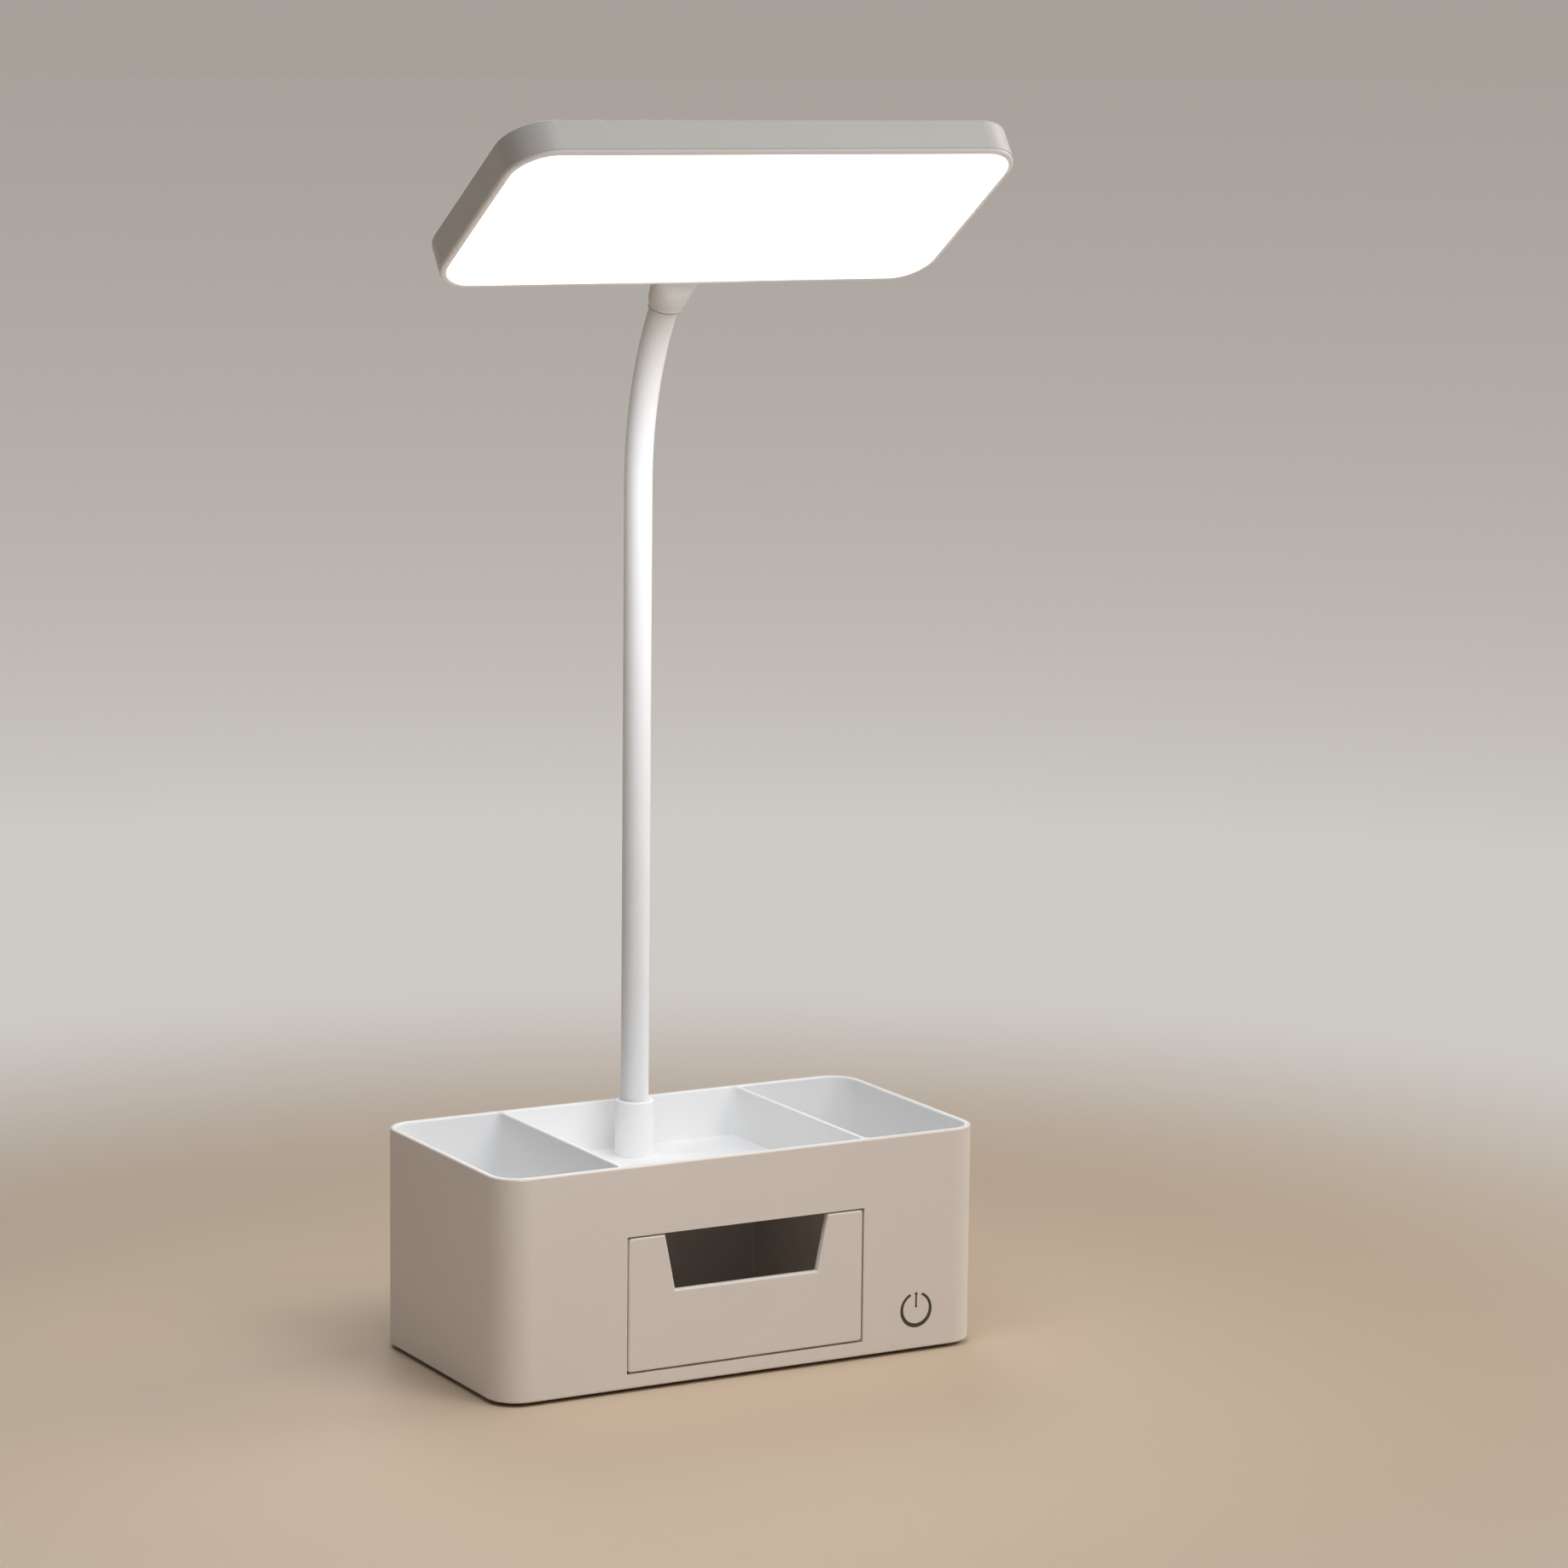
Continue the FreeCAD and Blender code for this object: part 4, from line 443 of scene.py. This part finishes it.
bezelPaintedGlow = {
    "colour": (0.94, 0.92, 1.0), "strength": 0.17, "least": 0.1,
    "outward": (0.0, -0.559193, -0.829038),  # where the lit face looks
    "face": -331.55 * mm, "depth": 1.3 * mm,  # both along outward
}


def paintedGlowRim(name, look, glow):
    material = mouldedPlastic(name, look)
    tree = material.node_tree
    shader = tree.nodes["Principled BSDF"]
    level = calculateVector(tree, "DOT_PRODUCT", objectPlace(tree), glow["outward"], "Value")
    near = remap(tree, level, glow["face"] - glow["depth"], glow["face"], glow["least"], 1.0)
    # painted glow: the bezel is no lamp, this emission stands in for the panel's light
    feed(tree, shader, "Emission Color", full(glow["colour"]))
    feed(tree, shader, "Emission Strength", calculate(tree, "MULTIPLY", near, glow["strength"]))
    return material


# housing: the base's plastic outside, and inside its walls a whiter colour, painted light where the panel's
# cool light falls into the tray

insidePaintedLight = {
    "colour": (0.93, 0.928, 0.925), "half": (100.0 * mm, 52.0 * mm), "corner": 12.0 * mm,
    "under": (1.0 * mm, 1.8 * mm),  # the change from outside to inside, as depths in the wall
}


def housingWithPaintedLight(name, look, paintedLight):
    # depth = corner - length(max(|p| - (half - corner), 0)), p as seen from above
    material = mouldedPlastic(name, look)
    tree = material.node_tree
    shader = tree.nodes["Principled BSDF"]
    flat = calculateVector(tree, "MULTIPLY", objectPlace(tree), (1.0, 1.0, 0.0))
    folded = calculateVector(tree, "ABSOLUTE", flat)
    core = (paintedLight["half"][0] - paintedLight["corner"], paintedLight["half"][1] - paintedLight["corner"], 0.0)
    beyond = calculateVector(tree, "SUBTRACT", folded, core)
    beyond = calculateVector(tree, "MAXIMUM", beyond, (0.0, 0.0, 0.0))
    away = calculateVector(tree, "LENGTH", beyond, result="Value")
    depth = calculate(tree, "SUBTRACT", paintedLight["corner"], away)
    inside = remap(tree, depth, *paintedLight["under"])
    outside = shader.inputs["Base Color"].links[0].from_socket
    # inside the walls the colour turns whiter: painted light from the panel, not a different plastic
    feed(tree, shader, "Base Color", mixColours(tree, inside, outside, paintedLight["colour"]))
    return material


finishes = {name: mouldedPlastic(name, look) for name, look in mouldings.items()}
finishes["housing"] = housingWithPaintedLight("housing", mouldings["base_plastic"], insidePaintedLight)
finishes.update({name: brushedMetal(name, look) for name, look in metals.items()})
finishes.update({name: circuitBoard(name, look, boardPattern) for name, look in boards.items()})
finishes["diffuser"] = glowingPanel("diffuser", panelGlow)
finishes["lamps"] = ledLamp("lamps", ledLook)
finishes["clear_plastic"] = clearGuide("clear_plastic", guideLook)

slotOf = {row["node"]: row["material_slot"] for row in frame["record"]["subparts"]}
for name, node in nodes.items():
    node.data.materials.clear()
    node.data.materials.append(finishes[slotOf[name]])
nodes["head_bezel"].data.materials[0] = paintedGlowRim("bezel", mouldings["head_plastic"], bezelPaintedGlow)
nodes["base_housing"].data.materials[0] = finishes["housing"]
print("materials on", len(slotOf), "nodes")


# surfaces

def wrapFaces(rows, columns, closedRows=False):
    # quads between neighbouring rows, round the columns; outward when the
    # columns run counterclockwise as seen against the direction of the rows
    row = np.arange(rows if closedRows else rows - 1)[:, None]
    column = np.arange(columns)[None, :]
    following = (row + 1) % rows
    beside = (column + 1) % columns
    corners = (row * columns + column, row * columns + beside,
               following * columns + beside, following * columns + column)
    return np.stack(corners, -1).reshape(-1, 4)


def sharpenRows(data, rows, columns, sharpRows):
    ends = np.zeros(len(data.edges) * 2, int)
    data.edges.foreach_get("vertices", ends)
    rowOf = ends.reshape(-1, 2) // columns
    wanted = [number % rows for number in sharpRows]
    sharp = (rowOf[:, 0] == rowOf[:, 1]) & np.isin(rowOf[:, 0], wanted)
    data.attributes.new("sharp_edge", "BOOLEAN", "EDGE").data.foreach_set("value", sharp)


def addSurface(name, points, finish, body, stands=(), closedRows=False, sharpRows=()):
    # points is a grid, rows x columns x 3; open ends are closed with a fan to
    # the middle of their row, and the named rows keep a sharp edge
    rows, columns = points.shape[:2]
    flat = points.reshape(-1, 3)
    faces = wrapFaces(rows, columns, closedRows).tolist()
    if not closedRows:
        middles = np.stack([points[0].mean(0), points[-1].mean(0)])
        flat = np.vstack([flat, middles])
        column = np.arange(columns)
        beside = (column + 1) % columns
        low = np.full(columns, rows * columns)
        last = (rows - 1) * columns
        faces += np.stack([low, beside, column], -1).tolist()
        faces += np.stack([low + 1, last + column, last + beside], -1).tolist()
    data = bpy.data.meshes.new(name)
    data.from_pydata(flat.tolist(), [], faces)
    data.shade_smooth()
    if sharpRows:
        sharpenRows(data, rows, columns, sharpRows)
    piece = bpy.data.objects.new(name, data)
    bpy.context.scene.collection.objects.link(piece)
    data.materials.append(finishes[finish])
    if body:
        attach(piece, body)
    if stands:
        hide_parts(*stands)
    return piece


def turnOf(columns):
    return np.linspace(0.0, 2.0 * math.pi, columns, endpoint=False)


def roundCorner(centre, radius, start, end, count):
    # points of an arc in a profile, angles in degrees from the first coordinate
    angle = np.radians(np.linspace(start, end, count))
    return np.stack([centre[0] + radius * np.cos(angle), centre[1] + radius * np.sin(angle)], -1)


def lathe(profile, centre, columns):
    # each profile point (r, z) goes round the upright through centre:
    # x = cx + r cos(turn), y = cy + r sin(turn)
    profile = np.asarray(profile)
    turn = turnOf(columns)
    radius, height = profile[:, :1], profile[:, 1:]
    x = centre[0] + radius * np.cos(turn)
    y = centre[1] + radius * np.sin(turn)
    return np.stack([x, y, np.broadcast_to(height, x.shape)], -1)


# arm: seven lengths of smooth sleeve, each bends across one joint

armLine = {
    "y": 38.0 * mm, "foot": 86.2 * mm, "straight": 234.8 * mm,  # upright as far as this
    "bend": 123.3 * mm, "lean": math.radians(33.5),  # then a bend of this radius up to this lean
    "radius": 5.3 * mm, "ring": 1.25 * mm, "columns": 72,
    "lengths": 7, "firstJoint": 22.0 * mm, "pitch": 40.0 * mm,
    "reach": 16.0 * mm,  # how far to each side of its joint a length bends
    "below": 19.0 * mm, "inNeck": 9.0 * mm,
}


def alongArm(line, station):
    # up to the bend the line is upright; then theta = (s - straight) / bend up to the
    # lean, y = y0 - bend (1 - cos theta), z = bend sin theta; then straight on
    theta = np.clip((station - line["straight"]) / line["bend"], 0.0, line["lean"])
    length = line["straight"] + line["bend"] * line["lean"]
    tail = np.maximum(station - length, 0.0)
    upright = np.minimum(station, line["straight"])
    y = line["y"] - line["bend"] * (1.0 - np.cos(theta)) - tail * np.sin(theta)
    z = line["foot"] + upright + line["bend"] * np.sin(theta) + tail * np.cos(theta)
    return np.stack([np.zeros_like(y), y, z], -1), theta


def sleeveGrid(line, low, high):
    # a circle across the line at each station: centre + r (cos turn X + sin turn N),
    # N = (0, cos theta, sin theta)
    station = np.linspace(low, high, max(2, round((high - low) / line["ring"]) + 1))
    centre, theta = alongArm(line, station)
    turn = turnOf(line["columns"])
    sideways = line["radius"] * np.cos(turn)
    across = line["radius"] * np.sin(turn)
    x = np.broadcast_to(sideways, (len(station), len(turn)))
    y = centre[:, 1:2] + np.cos(theta)[:, None] * across
    z = centre[:, 2:3] + np.sin(theta)[:, None] * across
    return np.stack([x, y, z], -1)


def makeArm(line):
    bodies = ["base"] + [f"arm_{number}" for number in range(1, line["lengths"])] + ["head"]
    end = line["straight"] + line["bend"] * line["lean"] + line["inNeck"]
    for number in range(1, line["lengths"] + 1):
        joint = line["firstJoint"] + line["pitch"] * (number - 1)
        low = -line["below"] if number == 1 else joint - line["pitch"] / 2
        high = end if number == line["lengths"] else joint + line["pitch"] / 2
        stands = [f"arm_sleeve_{number}"] + (["arm_sleeve_0"] if number == 1 else [])
        skin = addSurface(f"arm_skin_{number}", sleeveGrid(line, low, high), "sleeve", None,
                          stands, sharpRows=(0, -1))
        (start, stop), _ = alongArm(line, np.array([joint - line["reach"], joint + line["reach"]]))
        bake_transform(skin, bodies[number - 1], bodies[number], start=tuple(start), end=tuple(stop))


makeArm(armLine)
print("arm made")


# neck: a cup round the end of the arm, with a bead at its mouth and oval where it meets the head

neckShape = {
    "length": 17.5 * mm, "below": 1.9 * mm, "into": 0.5 * mm,  # below the arm's end, into the head's wall
    "mouthLean": math.radians(20.0), "topLean": math.radians(56.0), "leanFrom": 0.15,
    "bore": 5.36 * mm, "boreDepth": 8.0 * mm, "boreBend": 4.8 * mm,
    "mouth": 5.95 * mm, "mouthDepth": 1.6 * mm, "mouthEdge": 0.06 * mm, "mouthSkew": 0.5,
    "lip": 6.4 * mm, "lipRound": 0.4 * mm, "lipArc": (180, 60), "lipRows": 9,
    "groove": 6.25 * mm, "grooveAt": 1.1 * mm, "wide": 7.7 * mm, "belly": 5.6 * mm,
    "topWide": 9.5 * mm, "topThin": 4.8 * mm, "topMost": 1.1, "square": 0.3,
    "skew": (0.35 * mm, 0.9 * mm), "rows": 52, "columns": 96,
}
shadeRingShape = {
    "low": -0.22 * mm, "high": 0.12 * mm, "inner": 5.36 * mm, "outer": 6.15 * mm, "round": 0.1 * mm,
}


def alongNeck(shape, line, height):
    # the cup follows the direction that the arm's line ends in, from a little below its end
    tip, lean = alongArm(line, np.array([line["straight"] + line["bend"] * line["lean"]]))
    lean = float(lean[0])
    axis = np.array([0.0, -math.sin(lean), math.cos(lean)])
    return tip[0] + (height[:, None] - shape["below"]) * axis


def ovalGrid(centre, lean, wide, thin, power, shift, columns):
    # row by row an oval in the plane of X and (0, cos lean, sin lean):
    # x = wide |cos turn|^power + shift, across = thin |sin turn|^power, signs kept
    turn = turnOf(columns)
    power = np.broadcast_to(power, wide.shape)[:, None]
    x = wide[:, None] * np.sign(np.cos(turn)) * np.abs(np.cos(turn)) ** power
    across = thin[:, None] * np.sign(np.sin(turn)) * np.abs(np.sin(turn)) ** power
    return np.stack([x + shift[:, None], centre[:, 1:2] + across * np.cos(lean)[:, None],
                     centre[:, 2:3] + across * np.sin(lean)[:, None]], -1)


def mouthGrid(shape, line):
    # inside, circles of the bore that turn into the mouth's plane; then the bead of the lip
    inner = np.array([
        (shape["boreDepth"] + shape["below"], shape["bore"], line["lean"], 0.0),
        (shape["boreBend"], shape["bore"], line["lean"], 0.0),
        (shape["mouthDepth"], shape["mouth"], shape["mouthLean"], 0.0),
        (shape["mouthEdge"], shape["mouth"], shape["mouthLean"], shape["mouthSkew"]),
    ])
    middle = (shape["lipRound"], shape["lip"] - shape["lipRound"])
    bead = roundCorner(middle, shape["lipRound"], *shape["lipArc"], shape["lipRows"])
    bead = np.column_stack([bead, np.full(len(bead), shape["mouthLean"]), np.ones(len(bead))])
    height, radius, lean, share = np.vstack([inner, bead]).T
    centre = alongNeck(shape, line, height)
    return ovalGrid(centre, lean, radius, radius, 1.0, share * shape["skew"][0], shape["columns"])


def cupGrid(shape, line):
    # from the groove the planes turn to the head's wall with 3 t^2 - 2 t^3; half the width
    # goes up a quarter sine to the belly and then straight to the top; half the thickness
    # goes with the square of the height; |cos|^power with power below 1 squares the oval
    top = shape["length"] + shape["into"]
    height = np.linspace(shape["grooveAt"], top, shape["rows"])
    share = height / shape["length"]
    ease = np.clip((share - shape["leanFrom"]) / (1.0 - shape["leanFrom"]), 0.0, 1.0)
    ease = ease * ease * (3.0 - 2.0 * ease)
    lean = shape["mouthLean"] + (shape["topLean"] - shape["mouthLean"]) * ease
    rise = np.clip((height - shape["grooveAt"]) / (shape["belly"] - shape["grooveAt"]), 0.0, 1.0)
    beyond = np.clip((height - shape["belly"]) / (top - shape["belly"]), 0.0, 1.0)
    wide = shape["groove"] + (shape["wide"] - shape["groove"]) * np.sin(rise * math.pi / 2)
    wide = wide + (shape["topWide"] - shape["wide"]) * beyond
    thin = np.clip(share, 0.0, shape["topMost"]) ** 2
    thin = shape["groove"] + (shape["topThin"] - shape["groove"]) * thin
    shift = shape["skew"][0] + (shape["skew"][1] - shape["skew"][0]) * share
    power = 1.0 - shape["square"] * ease
    return ovalGrid(alongNeck(shape, line, height), lean, wide, thin, power, shift, shape["columns"])


def shadeRingGrid(shadeRing, shape, line):
    # a flat dark ring in the cup's mouth, painted shade where the lip shades the arm; its section a box with
    # one corner cut off
    height, radius = np.array([
        (shadeRing["high"], shadeRing["inner"]),
        (shadeRing["low"], shadeRing["inner"]),
        (shadeRing["low"], shadeRing["outer"] - shadeRing["round"]),
        (shadeRing["low"] + shadeRing["round"], shadeRing["outer"]),
        (shadeRing["high"], shadeRing["outer"]),
    ]).T
    lean = np.full(len(height), shape["mouthLean"])
    shift = np.full(len(height), shape["skew"][0])
    return ovalGrid(alongNeck(shape, line, height), lean, radius, radius, 1.0, shift, shape["columns"])


neckPoints = np.concatenate([mouthGrid(neckShape, armLine), cupGrid(neckShape, armLine)])
addSurface("neck_cup", neckPoints, "head_plastic", "head", ["head_neck"], sharpRows=(0, -1))
# a dark ring as painted shade under the cup's lip
addSurface("neck_shade_ring", shadeRingGrid(shadeRingShape, neckShape, armLine), "feet", "head", closedRows=True)
print("neck made")


# collar: a sleeve with a soft lip, and its threaded stem through the tray's floor

collarShape = {
    "centre": (0.0, 38.0 * mm), "columns": 96, "way": 1.8 * mm,
    "foot": 64.9 * mm, "top": 86.2 * mm, "radius": 7.5 * mm, "wallRows": (65.1 * mm, 68.9 * mm, 81.2 * mm),
    "lipRound": 0.8 * mm, "lipRows": 8,
    "mouth": 5.75 * mm, "mouthCut": (0.12 * mm, 0.08 * mm),
    "bore": 5.36 * mm, "boreTop": 85.5 * mm, "seat": 66.9 * mm,
    "stem": 5.0 * mm, "stemFoot": 51.9 * mm, "stemCut": 0.5 * mm,
    "thread": 0.35 * mm, "threadPitch": 1.25 * mm, "threadRows": 4, "threadFrom": 52.5 * mm,
    "threadTo": 64.1 * mm,
}


def collarGrid(shape):
    # a profile that is lathed: the stem's radius is a triangle wave of the height, and the
    # rest is straight runs with a quarter circle at the lip
    step = shape["threadPitch"] / shape["threadRows"]
    height = np.arange(shape["threadFrom"], shape["threadTo"], step)
    wave = np.abs(((height - shape["stemFoot"]) / shape["threadPitch"]) % 1.0 * 2.0 - 1.0)
    stem = np.stack([shape["stem"] - shape["thread"] * wave, height], -1)
    middle = (shape["radius"] - shape["lipRound"], shape["top"] - shape["lipRound"])
    profile = np.vstack([
        [(shape["way"], shape["stemFoot"]), (shape["stem"] - shape["stemCut"], shape["stemFoot"])],
        stem,
        [(shape["stem"], shape["foot"]), (shape["radius"], shape["foot"])],
        [(shape["radius"], row) for row in shape["wallRows"]],
        roundCorner(middle, shape["lipRound"], 0, 90, shape["lipRows"]),
        [(shape["mouth"], shape["top"]),
         (shape["mouth"] - shape["mouthCut"][0], shape["top"] - shape["mouthCut"][1]),
         (shape["bore"], shape["boreTop"]), (shape["bore"], shape["seat"]), (shape["way"], shape["seat"])],
    ])
    return lathe(profile, shape["centre"], shape["columns"])


collar = addSurface("arm_collar_turned", collarGrid(collarShape), "base_plastic", "base",
                    ["arm_collar"], closedRows=True)
# the collar stands inside the walls, so it takes the housing's whiter painted light too
collar.data.materials[0] = finishes["housing"]
print("collar made")


# feet: pads with a rolled edge and a shallow dish underneath

footShape = {
    "places": [(80.0 * mm, 38.0 * mm), (-80.0 * mm, 38.0 * mm), (80.0 * mm, -38.0 * mm),
               (-80.0 * mm, -38.0 * mm)],
    "radius": 6.0 * mm, "wallRows": (1.61 * mm, 2.28 * mm), "roll": 0.7 * mm, "rollRows": 6,
    "dish": 0.12 * mm, "dishRows": 6, "innermost": 0.15, "columns": 48,
}


def footGrid(shape, place):
    # a lathed profile with z = dish (1 - (r / ring)^2) inside the ring that stands on the desk
    ring = shape["radius"] - shape["roll"]
    share = np.linspace(shape["innermost"], 1.0, shape["dishRows"])
    dish = np.stack([ring * share, shape["dish"] * (1.0 - share ** 2)], -1)
    roll = roundCorner((ring, shape["roll"]), shape["roll"], -90, 0, shape["rollRows"])[1:]
    wall = [(shape["radius"], row) for row in shape["wallRows"]]
    return lathe(np.vstack([dish, roll, wall]), place, shape["columns"])


for number, place in enumerate(footShape["places"], 1):
    stands = ["rubber_feet"] if number == 1 else []
    addSurface(f"foot_{number}", footGrid(footShape, place), "feet", "base", stands, sharpRows=(-1,))
print("feet made")


# stage and light

stageLook = {
    "floor": (0.60, 0.47, 0.345), "rough": 0.6, "half": 40.0,
    "fadeFrom": 0.27, "fadeTo": 0.72,  # how far out the floor turns into the backdrop
    "nearBack": (0.62, 0.592, 0.568), "backdrop": (0.39, 0.355, 0.325), "farFrom": 1.2,
}
ambient = {"colour": (1.0, 0.99, 0.97), "strength": 0.14}
roomLamps = {
    "keyLamp": {
        "place": (0.95, -1.65, 1.9), "aim": (0.0, 0.0, 0.25), "size": 1.4,
        "power": 20.4, "colour": (1.0, 0.98, 0.98),
    },
    "sideLamp": {
        "place": (1.8, -0.1, 1.0), "aim": (0.0, 0.0, 0.15), "size": 1.0,
        "power": 12.0, "colour": (1.0, 0.98, 0.88),
    },
    "backLamp": {
        "place": (0.5, 1.9, 1.5), "aim": (0.0, 0.0, 0.2), "size": 1.2,
        "power": 10.0, "colour": (1.0, 1.0, 1.0),
    },
}
# the panel's light: on the desk and the base it comes from a place that stays, so that a
# bent arm doesn't bring it too close; on the arm and the neck it rides with the head
panelLamps = {
    "trayLamp": {
        "place": (-110 * mm, -160 * mm, 440 * mm), "turn": math.radians(10.0), "rides": False,
        "wide": 320 * mm, "deep": 200 * mm, "spread": math.radians(178.0),
        "power": 0.9, "colour": (0.90, 0.94, 1.0),
    },
    "armLamp": {
        "place": (0.0, -90 * mm, 390 * mm), "turn": 0.0, "rides": True,
        "wide": 190 * mm, "deep": 100 * mm, "spread": math.radians(175.0),
        "power": 0.44, "colour": (0.90, 0.94, 1.0),
    },
    "edgeLamp": {
        "place": (0.0, -3 * mm, 388 * mm), "turn": math.radians(105.0), "rides": True,
        "wide": 50 * mm, "deep": 6 * mm, "spread": math.radians(150.0),
        "power": 0.0008, "colour": (0.88, 0.93, 1.0),
    },
}


def seenRays(tree):
    path = addNode(tree, "LightPath").outputs
    seen = calculate(tree, "MAXIMUM", path["Is Camera Ray"], path["Is Glossy Ray"])
    return calculate(tree, "MAXIMUM", seen, path["Is Transmission Ray"])


def addStage(look):
    half = look["half"]
    corners = [(-half, -half, 0), (half, -half, 0), (half, half, 0), (-half, half, 0)]
    data = bpy.data.meshes.new("floor")
    data.from_pydata(corners, [], [(0, 1, 2, 3)])
    floor = bpy.data.objects.new("floor", data)
    bpy.context.scene.collection.objects.link(floor)
    floor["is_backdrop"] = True
    material, tree, shader = startMaterial("floor")
    feed(tree, shader, "Base Color", full(look["floor"]))
    feed(tree, shader, "Roughness", look["rough"])
    away = calculateVector(tree, "LENGTH", objectPlace(tree), result="Value")
    # the backdrop's glow is painted lighter near the object and falls off as farFrom / distance: a painted
    # pool of light
    near = calculate(tree, "MINIMUM", calculate(tree, "DIVIDE", look["farFrom"], away), 1.0)
    glow = addNode(tree, "Emission", {"Color": mixColours(tree, near, look["backdrop"], look["nearBack"])})
    inputs = {"Value": away, "From Min": look["fadeFrom"], "From Max": look["fadeTo"]}
    fade = addNode(tree, "MapRange", inputs, interpolation_type="SMOOTHSTEP").outputs["Result"]
    share = calculate(tree, "MULTIPLY", fade, seenRays(tree))
    both = addNode(tree, "MixShader", {0: share, 1: shader.outputs[0], 2: glow.outputs[0]})
    tree.links.new(both.outputs[0], tree.nodes["Material Output"].inputs["Surface"])
    # its glow is only for rays that are seen, so no light is sampled on it
    material.cycles.emission_sampling = "NONE"
    data.materials.append(material)


def addWorld(look, air):
    world = bpy.data.worlds.new("room")
    bpy.context.scene.world = world
    world.use_nodes = True
    tree = world.node_tree
    light = tree.nodes["Background"]
    feed(tree, light, "Color", full(air["colour"]))
    feed(tree, light, "Strength", air["strength"])
    seen = addNode(tree, "Background", {"Color": full(look["backdrop"]), "Strength": 1.0})
    both = addNode(tree, "MixShader", {0: seenRays(tree), 1: light.outputs[0], 2: seen.outputs[0]})
    tree.links.new(both.outputs[0], tree.nodes["World Output"].inputs["Surface"])


def addLamp(name, look):
    data = bpy.data.lights.new(name, "AREA")
    data.energy = look["power"]
    data.color = look["colour"]
    lamp = bpy.data.objects.new(name, data)
    lamp.location = look["place"]
    bpy.context.scene.collection.objects.link(lamp)
    return lamp


def addRoomLamp(name, look):
    lamp = addLamp(name, look)
    lamp.data.size = look["size"]
    direction = Vector(look["aim"]) - Vector(look["place"])
    lamp.rotation_euler = direction.to_track_quat("-Z", "Y").to_euler()


def gather(name, members):
    group = bpy.data.collections.new(name)
    for member in members:
        group.objects.link(member)
    return group


def addPanelLamp(name, look, lit, blockers):
    lamp = addLamp(name, look)
    lamp.data.shape = "RECTANGLE"
    lamp.data.size = look["wide"]
    lamp.data.size_y = look["deep"]
    lamp.data.spread = look["spread"]
    lamp.rotation_euler = (look["turn"], 0.0, 0.0)
    lamp.visible_camera = False
    lamp.visible_glossy = False
    lamp.light_linking.receiver_collection = lit
    lamp.light_linking.blocker_collection = blockers
    if look["rides"]:
        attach(lamp, "head")


def addPanelLamps(looks):
    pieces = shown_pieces()
    low = [piece for piece in pieces if set(body_of(piece) or ["base"]) <= {"base", "drawer"}]
    high = [piece for piece in pieces if piece not in low]
    floor = [thing for thing in bpy.context.scene.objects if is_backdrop(thing)]
    arm = [piece for piece in high if "head" not in body_of(piece)]
    lowGroup = gather("lit by the tray lamp", low + floor)
    highGroup = gather("lit by the arm's lamps", high)
    blockers = gather("in the panel's light", low + floor + arm)
    for name, look in looks.items():
        addPanelLamp(name, look, highGroup if look["rides"] else lowGroup, blockers)


addStage(stageLook)
addWorld(stageLook, ambient)
for name, look in roomLamps.items():
    addRoomLamp(name, look)
addPanelLamps(panelLamps)
bpy.context.scene.view_settings.view_transform = "Standard"
print("stage and lamps placed")
